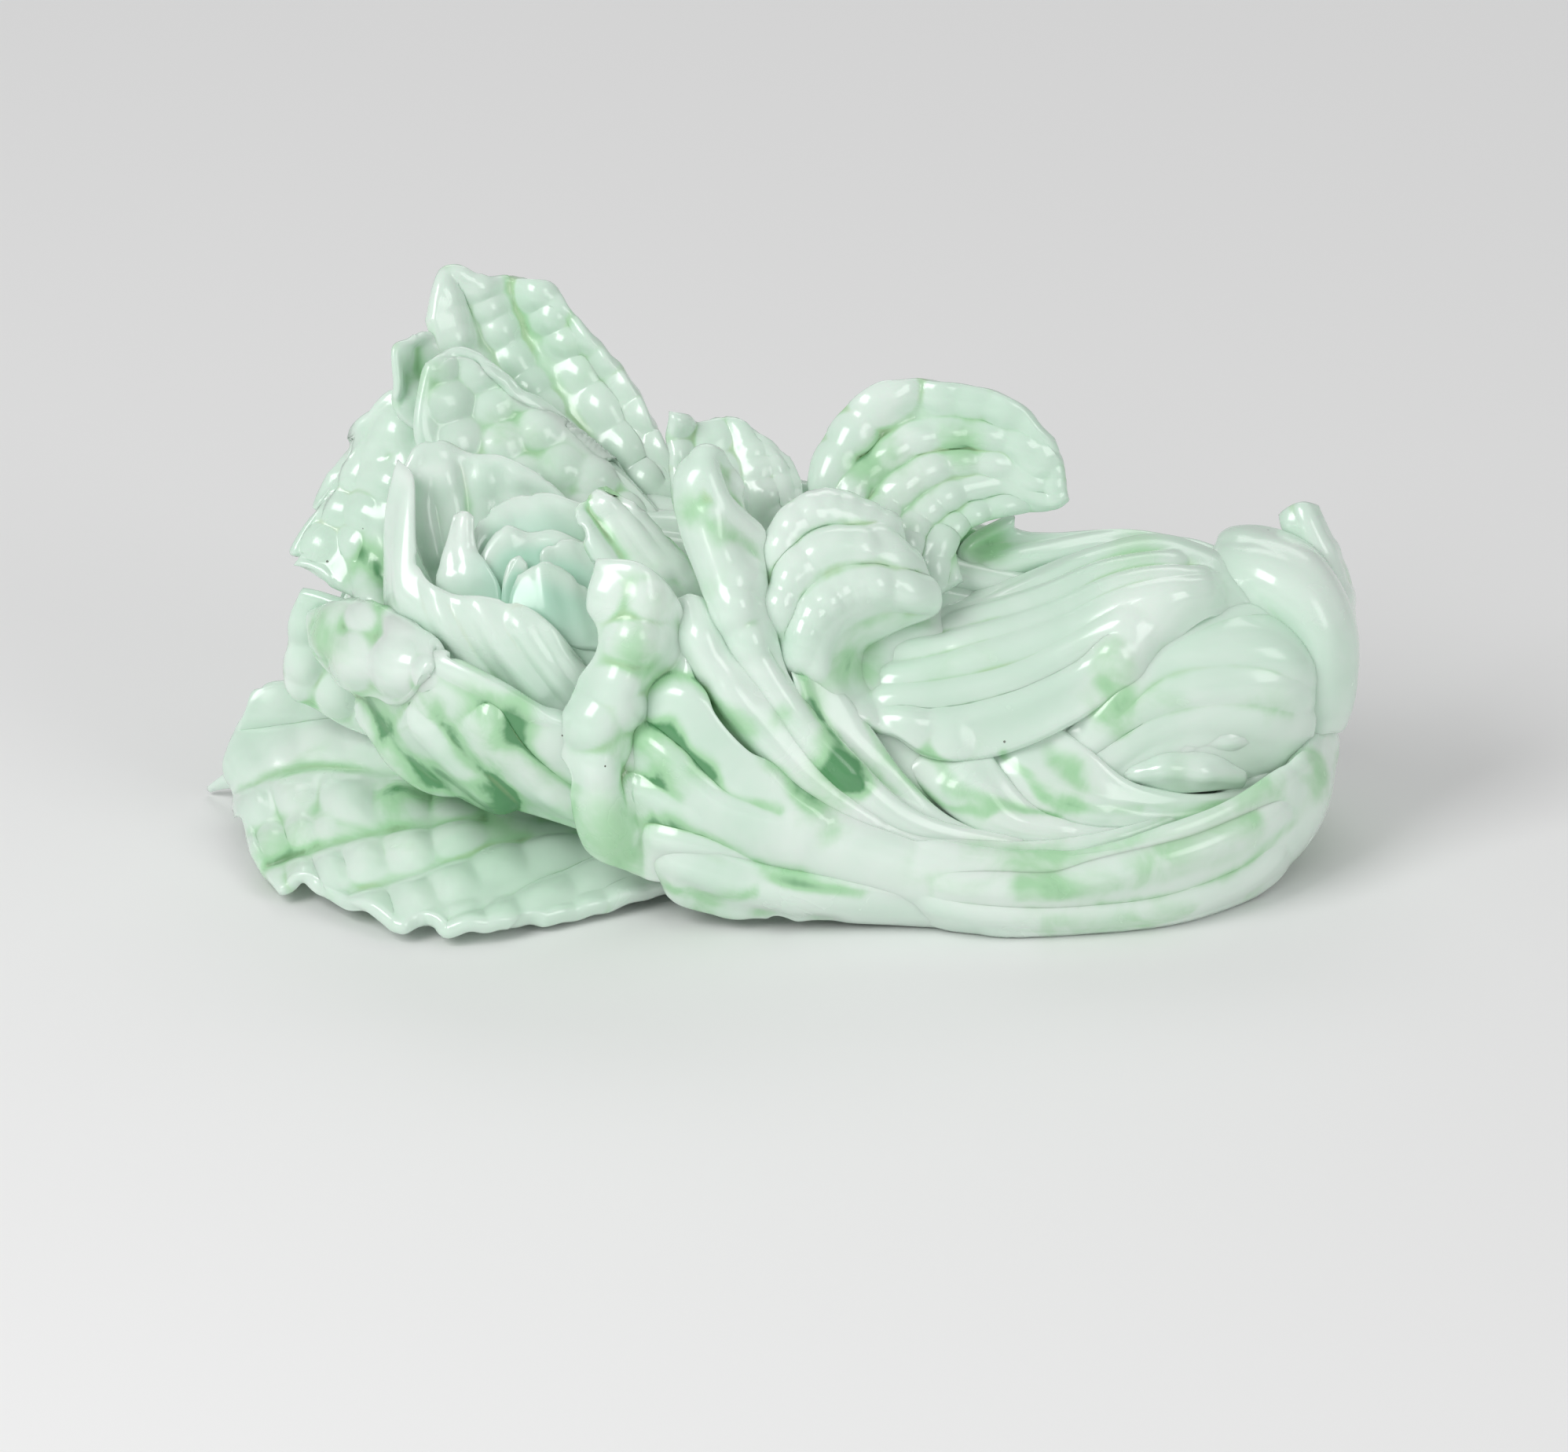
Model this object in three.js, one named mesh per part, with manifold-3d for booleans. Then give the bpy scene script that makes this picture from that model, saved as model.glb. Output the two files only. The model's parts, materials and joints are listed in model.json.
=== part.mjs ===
// A jade carving of a leafy cabbage that lies on its side. The head with its open heart of petals
// is at -X, the cut root end is at +X, the view in the picture looks along +Y, and +Z is up.
// The real carving is one stone. Each carved leaf, petal and stem is its own solid here, round a
// core that carries them all and ends in the flat resting face at z = 0. Millimetres.

import * as THREE from 'three';
import Module from 'manifold-3d';

const wasm = await Module();
wasm.setup();

// Driving sizes of the whole carving
const carvingLength = 170;
const carvingDepth = 76;
const carvingHeight = 80;

// Thicknesses of the carved sheets, at the stem end and towards the rim
const stalkThickness = 4.2;
const stalkRimThickness = 2.2;
const leafThickness = 3.4;
const leafRimThickness = 2;
const fanThickness = 3.2;
const fanRimThickness = 1.8;
const petalThickness = 2.6;
const petalRimThickness = 1.3;
const heartThickness = 1.8;
const heartRimThickness = 0.9;
const bellyThickness = 5;
const bellyRimThickness = 3.8;

// Clearance cut between neighbours
const cutGap = 0.3;

// How finely a plain sheet and a veined one are divided
const plainColumns = 6;
const plainRowsPerSection = 2;
const veinedColumns = 20;
const veinedRowsPerSection = 2;

// Large veins: from the crest between two of them to their valley, and half a valley's width as a
// share of the leaf's width
const veinDepth = 1.5;
const veinWidthShare = 0.05;

// How full a sheet stays towards its sides and its two ends, as powers of a superellipse
const sideFullness = 3;
const endFullness = 12;

// The picture's own frame, in its pixels: across, down, and a depth counted back from the front
// edge of the carving on the floor. The picture looks down on the carving at this angle.
const viewTilt = THREE.MathUtils.degToRad(25);
const leftmostPixel = 253;
const rightmostPixel = 1722;
const floorPixel = 1215;
const rearmostPixel = 655;
const topTipPixels = [575, 334, 600];

const towardsPicture = new THREE.Vector3(0, -Math.cos(viewTilt), Math.sin(viewTilt));
const towardsBack = new THREE.Vector3(0, 1, 0);

const middlePixel = (leftmostPixel + rightmostPixel) / 2;
const middleBackPixel = rearmostPixel / 2;
const risePixels = ([, down, back]) => {
  return (floorPixel - down - back * Math.sin(viewTilt)) / Math.cos(viewTilt);
};
const acrossScale = carvingLength / (rightmostPixel - leftmostPixel);
const backScale = carvingDepth / rearmostPixel;
const riseScale = carvingHeight / risePixels(topTipPixels);

// Place of a point that is seen in the picture
function seen(pixels) {
  const [across, , back] = pixels;
  return new THREE.Vector3(
    (across - middlePixel) * acrossScale,
    (back - middleBackPixel) * backScale,
    risePixels(pixels) * riseScale,
  );
}

// Place of a point behind the picture's reach, as shares of the length, the depth and the height
function hidden([lengthShare, depthShare, heightShare]) {
  return new THREE.Vector3(
    (lengthShare - 1 / 2) * carvingLength,
    (depthShare - 1 / 2) * carvingDepth,
    heightShare * carvingHeight,
  );
}

// Closed solid from corner points and triangles, its faces turned outwards
function solidFrom(points, triangles) {
  let volume = 0;
  const cross = new THREE.Vector3();
  for (const [a, b, c] of triangles) {
    volume += points[a].dot(cross.crossVectors(points[b], points[c]));
  }
  const outward = volume > 0 ? triangles : triangles.map(([a, b, c]) => [a, c, b]);
  const mesh = new wasm.Mesh({
    numProp: 3,
    vertProperties: new Float32Array(points.flatMap((point) => point.toArray())),
    triVerts: new Uint32Array(outward.flat()),
  });
  return new wasm.Manifold(mesh);
}

// A three.js geometry as a solid
function solidOf(geometry) {
  const plain = geometry.index ? geometry.toNonIndexed() : geometry;
  const corners = new Map();
  const points = [];
  const indices = [];
  const position = plain.getAttribute('position');
  for (let i = 0; i < position.count; i += 1) {
    const point = new THREE.Vector3().fromBufferAttribute(position, i);
    const key = point.toArray().map((value) => value.toFixed(5)).join();
    if (!corners.has(key)) {
      corners.set(key, points.length);
      points.push(point);
    }
    indices.push(corners.get(key));
  }
  const triangles = [];
  for (let i = 0; i < indices.length; i += 3) {
    triangles.push(indices.slice(i, i + 3));
  }
  return solidFrom(points, triangles.filter(([a, b, c]) => a !== b && b !== c && c !== a));
}

// Relief of a veined leaf over its own surface: half the relief's depth between two veins, and as
// far under the surface along each one. A vein may start and end on its way from stem to rim.
function veinRelief(veinShares, across, along) {
  let valley = 0;
  for (const [stemShare, rimShare, start = 0, end = 1] of veinShares) {
    if (along < start || along > end) {
      continue;
    }
    const away = (across - THREE.MathUtils.lerp(stemShare, rimShare, along)) / veinWidthShare;
    valley = Math.max(valley, Math.exp(-(away ** 2)));
  }
  return veinDepth * (1 / 2 - valley);
}

// One carved sheet: a smooth surface through its sections, which run from one side of the leaf to
// the other and follow each other from the stem to the tip, given a thickness that thins out to
// nothing at the rim. swell makes it fatter all over, as the cutter for its neighbours. A leaf with
// large veins gets a finer grid and their relief.
function sheet(sections, [stemThickness, rimThickness], swell, veins) {
  const lines = sections.map((section) => new THREE.CatmullRomCurve3(section, false, 'catmullrom'));
  const columnsAcross = veins ? veinedColumns : plainColumns;
  const rows = (sections.length - 1) * (veins ? veinedRowsPerSection : plainRowsPerSection);
  const grid = [];
  for (let column = 0; column <= columnsAcross; column += 1) {
    const across = column / columnsAcross;
    const line = new THREE.CatmullRomCurve3(
      lines.map((section) => section.getPoint(across)), false, 'catmullrom');
    const places = [];
    for (let row = 0; row <= rows; row += 1) {
      places.push(line.getPoint(row / rows));
    }
    grid.push(places);
  }
  const at = (column, row) => {
    const clampedColumn = THREE.MathUtils.clamp(column, 0, columnsAcross);
    return grid[clampedColumn][THREE.MathUtils.clamp(row, 0, rows)];
  };
  const points = [];
  const faces = [[], []];
  for (let column = 0; column <= columnsAcross; column += 1) {
    for (const face of faces) {
      face.push([]);
    }
    for (let row = 0; row <= rows; row += 1) {
      const place = at(column, row);
      const isRim = column === 0 || row === 0 || column === columnsAcross || row === rows;
      if (isRim) {
        const inside = at(
          THREE.MathUtils.clamp(column, 1, columnsAcross - 1),
          THREE.MathUtils.clamp(row, 1, rows - 1));
        const outwards = place.clone().sub(inside).setLength(2 * swell);
        faces[0][column].push(points.length);
        faces[1][column].push(points.length);
        points.push(place.clone().add(outwards));
        continue;
      }
      const side = at(column + 1, row).clone().sub(at(column - 1, row));
      const along = at(column, row + 1).clone().sub(at(column, row - 1));
      const normal = side.cross(along).normalize();
      let middle = place;
      if (veins) {
        const relief = veinRelief(veins.veinShares, column / columnsAcross, row / rows);
        middle = place.clone().addScaledVector(normal, relief * Math.sign(normal.dot(veins.side)));
      }
      const sideShare = Math.abs(2 * column / columnsAcross - 1);
      const endShare = Math.abs(2 * row / rows - 1);
      const fullness = Math.sqrt((1 - sideShare ** sideFullness) * (1 - endShare ** endFullness));
      const thickness = THREE.MathUtils.lerp(stemThickness, rimThickness, row / rows);
      const half = fullness * thickness / 2 + swell;
      faces[0][column].push(points.length);
      points.push(middle.clone().addScaledVector(normal, half));
      faces[1][column].push(points.length);
      points.push(middle.clone().addScaledVector(normal, -half));
    }
  }
  const triangles = [];
  faces.forEach((face, index) => {
    for (let column = 0; column < columnsAcross; column += 1) {
      for (let row = 0; row < rows; row += 1) {
        const a = face[column][row];
        const b = face[column + 1][row];
        const c = face[column + 1][row + 1];
        const d = face[column][row + 1];
        const pair = (column < columnsAcross / 2) === (row < rows / 2)
          ? [[a, b, d], [b, c, d]] : [[a, b, c], [a, c, d]];
        triangles.push(...pair.map(([p, q, r]) => (index ? [p, r, q] : [p, q, r])));
      }
    }
  });
  return solidFrom(points, triangles);
}

const stalkPair = [stalkThickness, stalkRimThickness];
const leafPair = [leafThickness, leafRimThickness];
const fanPair = [fanThickness, fanRimThickness];
const petalPair = [petalThickness, petalRimThickness];
const heartPair = [heartThickness, heartRimThickness];
const bellyPair = [bellyThickness, bellyRimThickness];

// Leaves that the picture shows. Each row is one section, from one side of the leaf to the other,
// and the rows run from the stem to the tip.
const frontCurlPixels = [
  [[1690, 960, 330], [1690, 945, 333], [1688, 930, 336], [1680, 915, 340], [1670, 900, 345]],
  [[1640, 1080, 250], [1652, 1055, 225], [1652, 1030, 207], [1645, 1000, 200], [1630, 975, 205]],
  [[1500, 1160, 125], [1502, 1135, 98], [1498, 1105, 85], [1495, 1078, 85], [1490, 1050, 100]],
  [[1300, 1178, 88], [1302, 1158, 58], [1300, 1135, 46], [1300, 1113, 50], [1300, 1092, 68]],
  [[1150, 1158, 90], [1140, 1130, 52], [1128, 1105, 40], [1120, 1080, 40], [1110, 1052, 58]],
  [[1000, 1120, 88], [990, 1085, 58], [975, 1048, 50], [968, 1008, 58], [955, 960, 82]],
  [[900, 1115, 92], [885, 1062, 72], [875, 1000, 70], [875, 938, 82], [890, 875, 112]],
  [[828, 1115, 98], [818, 1050, 92], [812, 978, 98], [828, 896, 113], [874, 784, 148]],
  [[782, 1096, 82], [768, 1030, 68], [768, 945, 66], [802, 848, 84], [824, 722, 124]],
  [[750, 1068, 98], [730, 1005, 96], [718, 930, 104], [743, 846, 112], [746, 712, 150]],
];
const lowFrontPixels = [
  [[1300, 1176, 95], [1290, 1160, 75], [1280, 1140, 60]],
  [[1150, 1164, 100], [1130, 1145, 60], [1120, 1120, 45]],
  [[1000, 1165, 85], [990, 1135, 48], [980, 1100, 48]],
  [[900, 1157, 85], [885, 1110, 55], [880, 1065, 60]],
  [[850, 1130, 100], [835, 1098, 88], [830, 1060, 92]],
];
const frontInnerPixels = [
  [[1690, 950, 340], [1685, 930, 345], [1680, 915, 350]],
  [[1600, 1014, 228], [1600, 994, 218], [1600, 979, 222]],
  [[1450, 1080, 118], [1450, 1060, 113], [1450, 1045, 122]],
  [[1300, 1104, 82], [1300, 1087, 77], [1300, 1070, 88]],
  [[1145, 1088, 68], [1152, 1066, 62], [1165, 1050, 75]],
  [[1005, 1022, 92], [1032, 1000, 72], [1060, 985, 82]],
  [[900, 925, 130], [942, 905, 95], [982, 888, 110]],
  [[848, 850, 168], [893, 822, 126], [930, 820, 145]],
  [[838, 772, 190], [875, 757, 166], [910, 776, 170]],
];
const smallCurlPixels = [
  [[1310, 1102, 96], [1305, 1084, 92], [1300, 1066, 100]],
  [[1150, 1068, 80], [1158, 1051, 70], [1170, 1034, 82]],
  [[1040, 992, 92], [1062, 974, 76], [1088, 962, 90]],
  [[970, 890, 125], [995, 885, 108], [1020, 885, 122]],
  [[912, 785, 150], [950, 790, 132], [990, 828, 148]],
  [[893, 728, 178], [930, 730, 158], [975, 748, 188]],
  [[874, 680, 205], [916, 674, 185], [968, 690, 225]],
  [[863, 628, 230], [900, 612, 218], [945, 640, 250]],
  [[875, 592, 248], [900, 573, 250], [930, 590, 265]],
];
const sweptCurlPixels = [
  [[1640, 760, 330], [1630, 785, 305], [1620, 800, 290], [1600, 812, 283], [1580, 812, 280]],
  [[1590, 735, 345], [1570, 742, 315], [1555, 755, 285], [1540, 772, 268], [1530, 788, 255]],
  [[1480, 690, 365], [1475, 715, 315], [1465, 752, 265], [1455, 800, 230], [1448, 856, 205]],
  [[1390, 705, 360], [1378, 745, 300], [1370, 800, 240], [1370, 860, 200], [1380, 912, 165]],
  [[1290, 742, 345], [1275, 780, 280], [1268, 835, 220], [1270, 895, 180], [1282, 958, 140]],
  [[1210, 768, 330], [1190, 800, 268], [1178, 848, 215], [1180, 905, 172], [1195, 968, 132]],
  [[1140, 790, 290], [1110, 812, 248], [1095, 845, 212], [1100, 890, 172], [1125, 938, 138]],
  [[1190, 773, 240], [1125, 793, 212], [1072, 806, 178], [1052, 858, 145], [1078, 912, 134]],
  [[1190, 745, 232], [1110, 728, 200], [1043, 750, 178], [1014, 815, 152], [1048, 878, 140]],
  [[1160, 708, 258], [1085, 684, 228], [1016, 708, 205], [985, 775, 172], [1015, 855, 150]],
  [[1125, 668, 295], [1060, 627, 285], [998, 650, 255], [972, 728, 215], [985, 805, 178]],
];
const frontLeftPixels = [
  [[880, 1090, 110], [872, 1055, 97], [865, 1020, 94], [858, 985, 98], [850, 950, 110]],
  [[740, 1036, 165], [742, 1005, 130], [740, 975, 112], [735, 945, 102], [720, 908, 100]],
  [[620, 1008, 225], [618, 975, 168], [618, 940, 132], [625, 905, 112], [642, 866, 105]],
  [[530, 968, 275], [528, 930, 215], [535, 895, 172], [555, 865, 140], [595, 842, 120]],
  [[462, 885, 320], [475, 862, 265], [498, 842, 215], [530, 830, 172], [575, 836, 132]],
  [[402, 788, 365], [430, 774, 318], [468, 770, 268], [510, 790, 212], [560, 826, 142]],
  [[398, 810, 350], [425, 824, 290], [465, 832, 228], [508, 848, 170], [560, 848, 118]],
  [[408, 836, 346], [432, 864, 297], [470, 887, 236], [518, 896, 174], [552, 864, 115]],
];
const spreadPixels = [
  [[900, 1000, 300], [890, 1030, 260], [880, 1060, 220], [870, 1095, 185], [860, 1130, 150]],
  [[760, 960, 400], [745, 1010, 330], [740, 1060, 250], [740, 1110, 165], [745, 1165, 90]],
  [[620, 915, 460], [600, 972, 390], [595, 1038, 285], [600, 1108, 150], [615, 1182, 26]],
  [[480, 872, 490], [462, 942, 425], [455, 1020, 312], [462, 1100, 172], [508, 1180, 30]],
  [[352, 866, 480], [332, 930, 458], [326, 1008, 375], [352, 1082, 245], [415, 1137, 120]],
  [[316, 885, 478], [286, 948, 458], [290, 1010, 420], [312, 1075, 262], [352, 1140, 150]],
];
// Veins of the spread leaf: how far across it each one lies, at the stem and at the rim
const spreadVeinShares = [
  [-0.1, 0.34],
  [0.31, 0.5],
  [0.36, 0.88],
  [0.37, 1.25],
  [0.6, 1.55],
];
// The valleys between the fan's rows of blisters
const fanVeinShares = [[0.26, 0.26], [0.52, 0.52], [0.7, 0.7], [0.86, 0.86]];
// The front left leaf's three folds, and the valleys between the lobes of its rolled end
const frontLeftVeinShares = [
  [-0.2, 0.63, 0.2, 0.65],
  [-0.4, 1.6, 0.15, 0.6],
  [-0.03, 2.72, 0.05, 0.35],
  [0.34, 0.3, 0.72, 1],
  [0.6, 0.58, 0.72, 1],
];
const spreadSpikePixels = [
  [[380, 950, 420], [380, 985, 400], [380, 1020, 370]],
  [[310, 965, 445], [312, 985, 435], [315, 1008, 425]],
  [[280, 985, 462], [282, 994, 460], [285, 1004, 458]],
  [[257, 1002, 478], [258, 1006, 478], [260, 1009, 478]],
];
const outerPetalFrontPixels = [
  [[640, 930, 175], [660, 938, 165], [685, 945, 155], [712, 950, 149], [745, 950, 148], [775, 944, 151],
    [800, 932, 155]],
  [[540, 862, 215], [565, 875, 180], [595, 888, 158], [640, 898, 145], [690, 906, 136], [740, 910, 139],
    [786, 910, 145]],
  [[503, 782, 268], [520, 794, 224], [545, 810, 196], [590, 828, 164], [650, 842, 143], [712, 860, 139],
    [778, 884, 143]],
  [[497, 690, 292], [507, 725, 240], [527, 765, 203], [575, 792, 174], [634, 800, 158], [694, 820, 147],
    [752, 862, 147]],
  [[512, 580, 330], [524, 652, 268], [540, 728, 222], [578, 756, 193], [630, 762, 176], [688, 780, 161],
    [742, 842, 152]],
];
const outerPetalBackPixels = [
  [[565, 765, 285], [584, 768, 280], [606, 770, 276], [632, 766, 276], [660, 760, 280], [694, 755, 285],
    [727, 752, 290]],
  [[533, 700, 314], [556, 700, 316], [584, 700, 319], [616, 694, 326], [652, 690, 330], [694, 690, 326],
    [735, 695, 321]],
  [[519, 632, 340], [542, 622, 346], [572, 622, 352], [606, 628, 359], [648, 630, 362], [692, 648, 355],
    [734, 668, 344]],
  [[515, 594, 352], [532, 568, 366], [566, 562, 374], [602, 578, 378], [642, 581, 378], [692, 606, 366],
    [728, 640, 350]],
];
const spikePetalPixels = [
  [[575, 800, 210], [605, 810, 200], [645, 800, 200]],
  [[562, 748, 225], [600, 745, 215], [640, 754, 216]],
  [[567, 712, 241], [592, 706, 234], [622, 714, 227]],
  [[579, 682, 251], [592, 678, 246], [604, 694, 240]],
  [[587, 660, 259], [596, 654, 256], [603, 665, 250]],
];
const ringPetalPixels = [
  [[612, 750, 236], [626, 730, 249], [646, 712, 260], [672, 702, 268], [706, 700, 270], [750, 716, 270]],
  [[606, 716, 251], [613, 696, 268], [638, 672, 287], [664, 662, 298], [704, 658, 301], [756, 674, 292]],
  [[605, 702, 261], [608, 674, 280], [628, 650, 300], [660, 633, 313], [702, 629, 317], [747, 644, 300]],
];
const innerRingPetalPixels = [
  [[630, 792, 215], [643, 775, 220], [662, 763, 226], [690, 757, 232], [720, 755, 235], [764, 764, 231]],
  [[624, 758, 222], [636, 738, 233], [657, 726, 241], [684, 720, 248], [714, 719, 249], [758, 738, 245]],
  [[614, 710, 244], [627, 688, 258], [646, 671, 270], [676, 679, 274], [708, 676, 276], [748, 692, 264]],
];
const heartLeftPixels = [
  [[640, 790, 200], [665, 780, 205], [690, 775, 205]],
  [[643, 745, 216], [658, 722, 226], [678, 735, 222]],
  [[650, 725, 222], [663, 709, 230], [674, 718, 226]],
];
const heartFrontPixels = [
  [[650, 815, 172], [705, 825, 162], [775, 830, 165]],
  [[652, 765, 195], [702, 778, 180], [775, 800, 180]],
  [[663, 733, 212], [703, 717, 212], [752, 752, 212]],
];
const heartRightPixels = [
  [[700, 790, 222], [735, 792, 218], [780, 790, 212]],
  [[690, 715, 245], [718, 705, 252], [772, 715, 245]],
  [[695, 698, 252], [722, 688, 260], [766, 690, 262]],
];
const heartLowPixels = [
  [[640, 850, 160], [700, 868, 150], [780, 885, 152]],
  [[640, 800, 178], [695, 815, 165], [778, 842, 166]],
  [[640, 768, 196], [690, 774, 182], [772, 815, 176]],
];
const jaggedPetalPixels = [
  [[850, 860, 195], [900, 850, 225], [935, 825, 250]],
  [[795, 778, 205], [850, 762, 218], [905, 752, 230]],
  [[750, 707, 230], [805, 697, 250], [866, 702, 260]],
  [[736, 668, 255], [770, 648, 280], [812, 652, 288]],
  [[735, 646, 266], [752, 632, 285], [768, 617, 296]],
];
const midBackPixels = [
  [[900, 782, 256], [940, 765, 258], [990, 748, 262], [1010, 765, 258]],
  [[860, 650, 300], [910, 640, 320], [970, 630, 335], [1018, 660, 320]],
  [[850, 570, 335], [900, 570, 365], [960, 575, 375], [1018, 620, 350]],
  [[848, 522, 350], [890, 540, 385], [935, 534, 395], [1002, 588, 372]],
];
const leftLowPixels = [
  [[560, 760, 330], [570, 850, 340], [560, 930, 360]],
  [[470, 770, 350], [460, 840, 370], [460, 930, 390]],
  [[400, 752, 375], [395, 830, 390], [400, 900, 400]],
  [[374, 748, 388], [368, 815, 400], [350, 875, 415]],
];
const leftScallopedPixels = [
  [[620, 650, 420], [610, 710, 385], [590, 780, 345], [560, 830, 310]],
  [[540, 540, 445], [495, 645, 400], [477, 730, 360], [490, 785, 300]],
  [[503, 496, 468], [462, 608, 442], [440, 690, 402], [455, 762, 340]],
  [[464, 524, 469], [440, 614, 446], [414, 688, 411], [434, 752, 360]],
  [[454, 551, 463], [425, 630, 440], [400, 694, 410], [418, 740, 370]],
  [[441, 578, 455], [409, 644, 434], [387, 700, 409], [404, 729, 380]],
  [[429, 596, 447], [396, 653, 429], [377, 706, 406], [392, 723, 389]],
  [[420, 609, 441], [386, 662, 425], [367, 711, 402], [378, 722, 396]],
];
const secondBackPixels = [
  [[700, 760, 300], [780, 760, 330], [850, 740, 360], [880, 710, 380]],
  [[600, 680, 350], [700, 650, 390], [790, 640, 410], [852, 665, 400]],
  [[550, 610, 380], [640, 570, 430], [730, 560, 450], [792, 600, 430]],
  [[530, 550, 400], [595, 520, 450], [660, 510, 470], [707, 525, 460]],
  [[540, 480, 430], [565, 460, 460], [600, 455, 470], [645, 480, 460]],
  [[548, 455, 440], [565, 449, 455], [590, 452, 462], [620, 461, 460]],
];
const backFoldPixels = [
  [[625, 615, 440], [628, 565, 468], [640, 520, 490]],
  [[548, 560, 425], [552, 495, 478], [562, 435, 510]],
  [[512, 535, 432], [513, 470, 470], [537, 422, 500]],
  [[500, 505, 436], [498, 445, 455], [522, 427, 485]],
];
const tallBackPixels = [
  [[820, 740, 380], [838, 725, 392], [856, 710, 404], [872, 697, 414], [890, 680, 424], [905, 665, 430]],
  [[700, 640, 430], [730, 615, 452], [765, 588, 472], [800, 562, 488], [828, 562, 486], [852, 572, 480]],
  [[620, 560, 470], [655, 530, 500], [692, 498, 525], [738, 470, 539], [778, 474, 532], [808, 486, 520]],
  [[566, 492, 492], [590, 452, 528], [622, 428, 553], [660, 408, 568], [702, 398, 567], [744, 411, 552]],
  [[544, 402, 512], [553, 352, 547], [577, 336, 564], [612, 352, 578], [655, 349, 588], [702, 378, 576]],
];
const fanPixels = [
  [[1150, 760, 300], [1175, 760, 300], [1200, 755, 300], [1225, 740, 305]],
  [[1080, 690, 330], [1120, 700, 320], [1160, 700, 320], [1215, 705, 330]],
  [[1034, 620, 365], [1080, 630, 350], [1140, 650, 345], [1222, 685, 350]],
  [[1057, 547, 400], [1110, 570, 385], [1170, 610, 370], [1240, 668, 370]],
  [[1112, 490, 420], [1160, 530, 410], [1215, 590, 395], [1270, 658, 385]],
  [[1200, 486, 425], [1235, 530, 415], [1265, 590, 405], [1305, 650, 400]],
  [[1290, 508, 415], [1300, 550, 412], [1315, 600, 408], [1340, 643, 405]],
  [[1345, 567, 400], [1353, 590, 402], [1357, 612, 402], [1363, 630, 402]],
];
const fanStemPixels = [
  [[1620, 725, 360], [1610, 740, 340], [1590, 750, 330]],
  [[1500, 692, 398], [1500, 703, 382], [1495, 718, 362]],
  [[1420, 677, 418], [1415, 690, 402], [1405, 706, 372]],
  [[1340, 681, 425], [1338, 697, 405], [1332, 719, 365]],
  [[1294, 672, 422], [1270, 697, 408], [1275, 735, 355]],
  [[1290, 655, 405], [1222, 698, 378], [1240, 742, 345]],
];
const endStalkPixels = [
  [[1540, 752, 325], [1538, 722, 350], [1548, 705, 385], [1566, 694, 410]],
  [[1582, 772, 300], [1588, 735, 312], [1602, 706, 360], [1614, 691, 410]],
  [[1618, 795, 285], [1642, 757, 282], [1660, 730, 328], [1668, 720, 390]],
  [[1645, 828, 280], [1674, 802, 268], [1696, 792, 308], [1704, 797, 375]],
  [[1656, 872, 285], [1680, 862, 268], [1699, 862, 300], [1707, 864, 360]],
  [[1666, 932, 300], [1680, 927, 288], [1690, 927, 308], [1696, 930, 350]],
];
const endLeafPixels = [
  [[1694, 930, 345], [1700, 918, 356], [1704, 905, 388]],
  [[1705, 865, 352], [1712, 855, 372], [1716, 850, 403]],
  [[1697, 800, 368], [1711, 790, 384], [1719, 790, 416]],
  [[1676, 745, 388], [1697, 733, 392], [1713, 735, 424]],
  [[1654, 708, 404], [1678, 697, 394], [1699, 702, 427]],
  [[1640, 684, 414], [1664, 672, 400], [1689, 674, 427]],
  [[1626, 652, 425], [1650, 640, 415], [1676, 640, 428]],
];
const bellyPixels = [
  [[1655, 850, 290], [1662, 885, 278], [1660, 925, 280], [1650, 965, 292]],
  [[1600, 790, 290], [1622, 835, 240], [1625, 900, 226], [1610, 980, 238]],
  [[1520, 800, 270], [1532, 845, 215], [1532, 915, 196], [1525, 1000, 192]],
  [[1440, 850, 225], [1440, 895, 192], [1432, 950, 178], [1425, 1020, 168]],
  [[1370, 915, 190], [1368, 945, 178], [1358, 980, 170], [1350, 1020, 165]],
  [[1320, 950, 180], [1315, 970, 172], [1308, 990, 168], [1300, 1010, 165]],
];
const smallUpperPixels = [
  [[1642, 930, 264], [1640, 939, 257], [1634, 948, 259]],
  [[1590, 912, 214], [1596, 935, 199], [1590, 960, 208]],
  [[1530, 918, 192], [1530, 945, 174], [1530, 970, 194]],
  [[1470, 948, 178], [1470, 963, 168], [1475, 978, 184]],
  [[1438, 968, 178], [1435, 975, 174], [1440, 982, 180]],
];
const smallLowerPixels = [
  [[1580, 984, 188], [1580, 992, 183], [1575, 1000, 184]],
  [[1540, 960, 174], [1540, 982, 154], [1535, 1005, 159]],
  [[1490, 955, 164], [1490, 980, 142], [1490, 1008, 148]],
  [[1450, 968, 158], [1448, 982, 143], [1452, 1000, 148]],
  [[1430, 983, 157], [1428, 989, 152], [1432, 995, 153]],
];
const stemOnePixels = [
  [[1660, 948, 300], [1665, 962, 292], [1665, 976, 288]],
  [[1560, 1008, 184], [1565, 1025, 170], [1565, 1040, 165]],
  [[1450, 1005, 152], [1450, 1030, 126], [1445, 1052, 120]],
  [[1380, 952, 158], [1360, 1000, 128], [1350, 1045, 116]],
  [[1335, 915, 180], [1302, 965, 148], [1280, 1008, 124]],
  [[1302, 888, 200], [1268, 932, 176], [1238, 970, 156]],
];
const stemTwoPixels = [
  [[1560, 1038, 178], [1560, 1048, 172], [1560, 1058, 168]],
  [[1430, 1052, 120], [1430, 1062, 114], [1430, 1072, 114]],
  [[1330, 1035, 114], [1310, 1055, 102], [1300, 1072, 100]],
  [[1270, 975, 135], [1240, 1010, 112], [1220, 1045, 100]],
  [[1242, 918, 178], [1190, 945, 158], [1142, 975, 135]],
];
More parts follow.
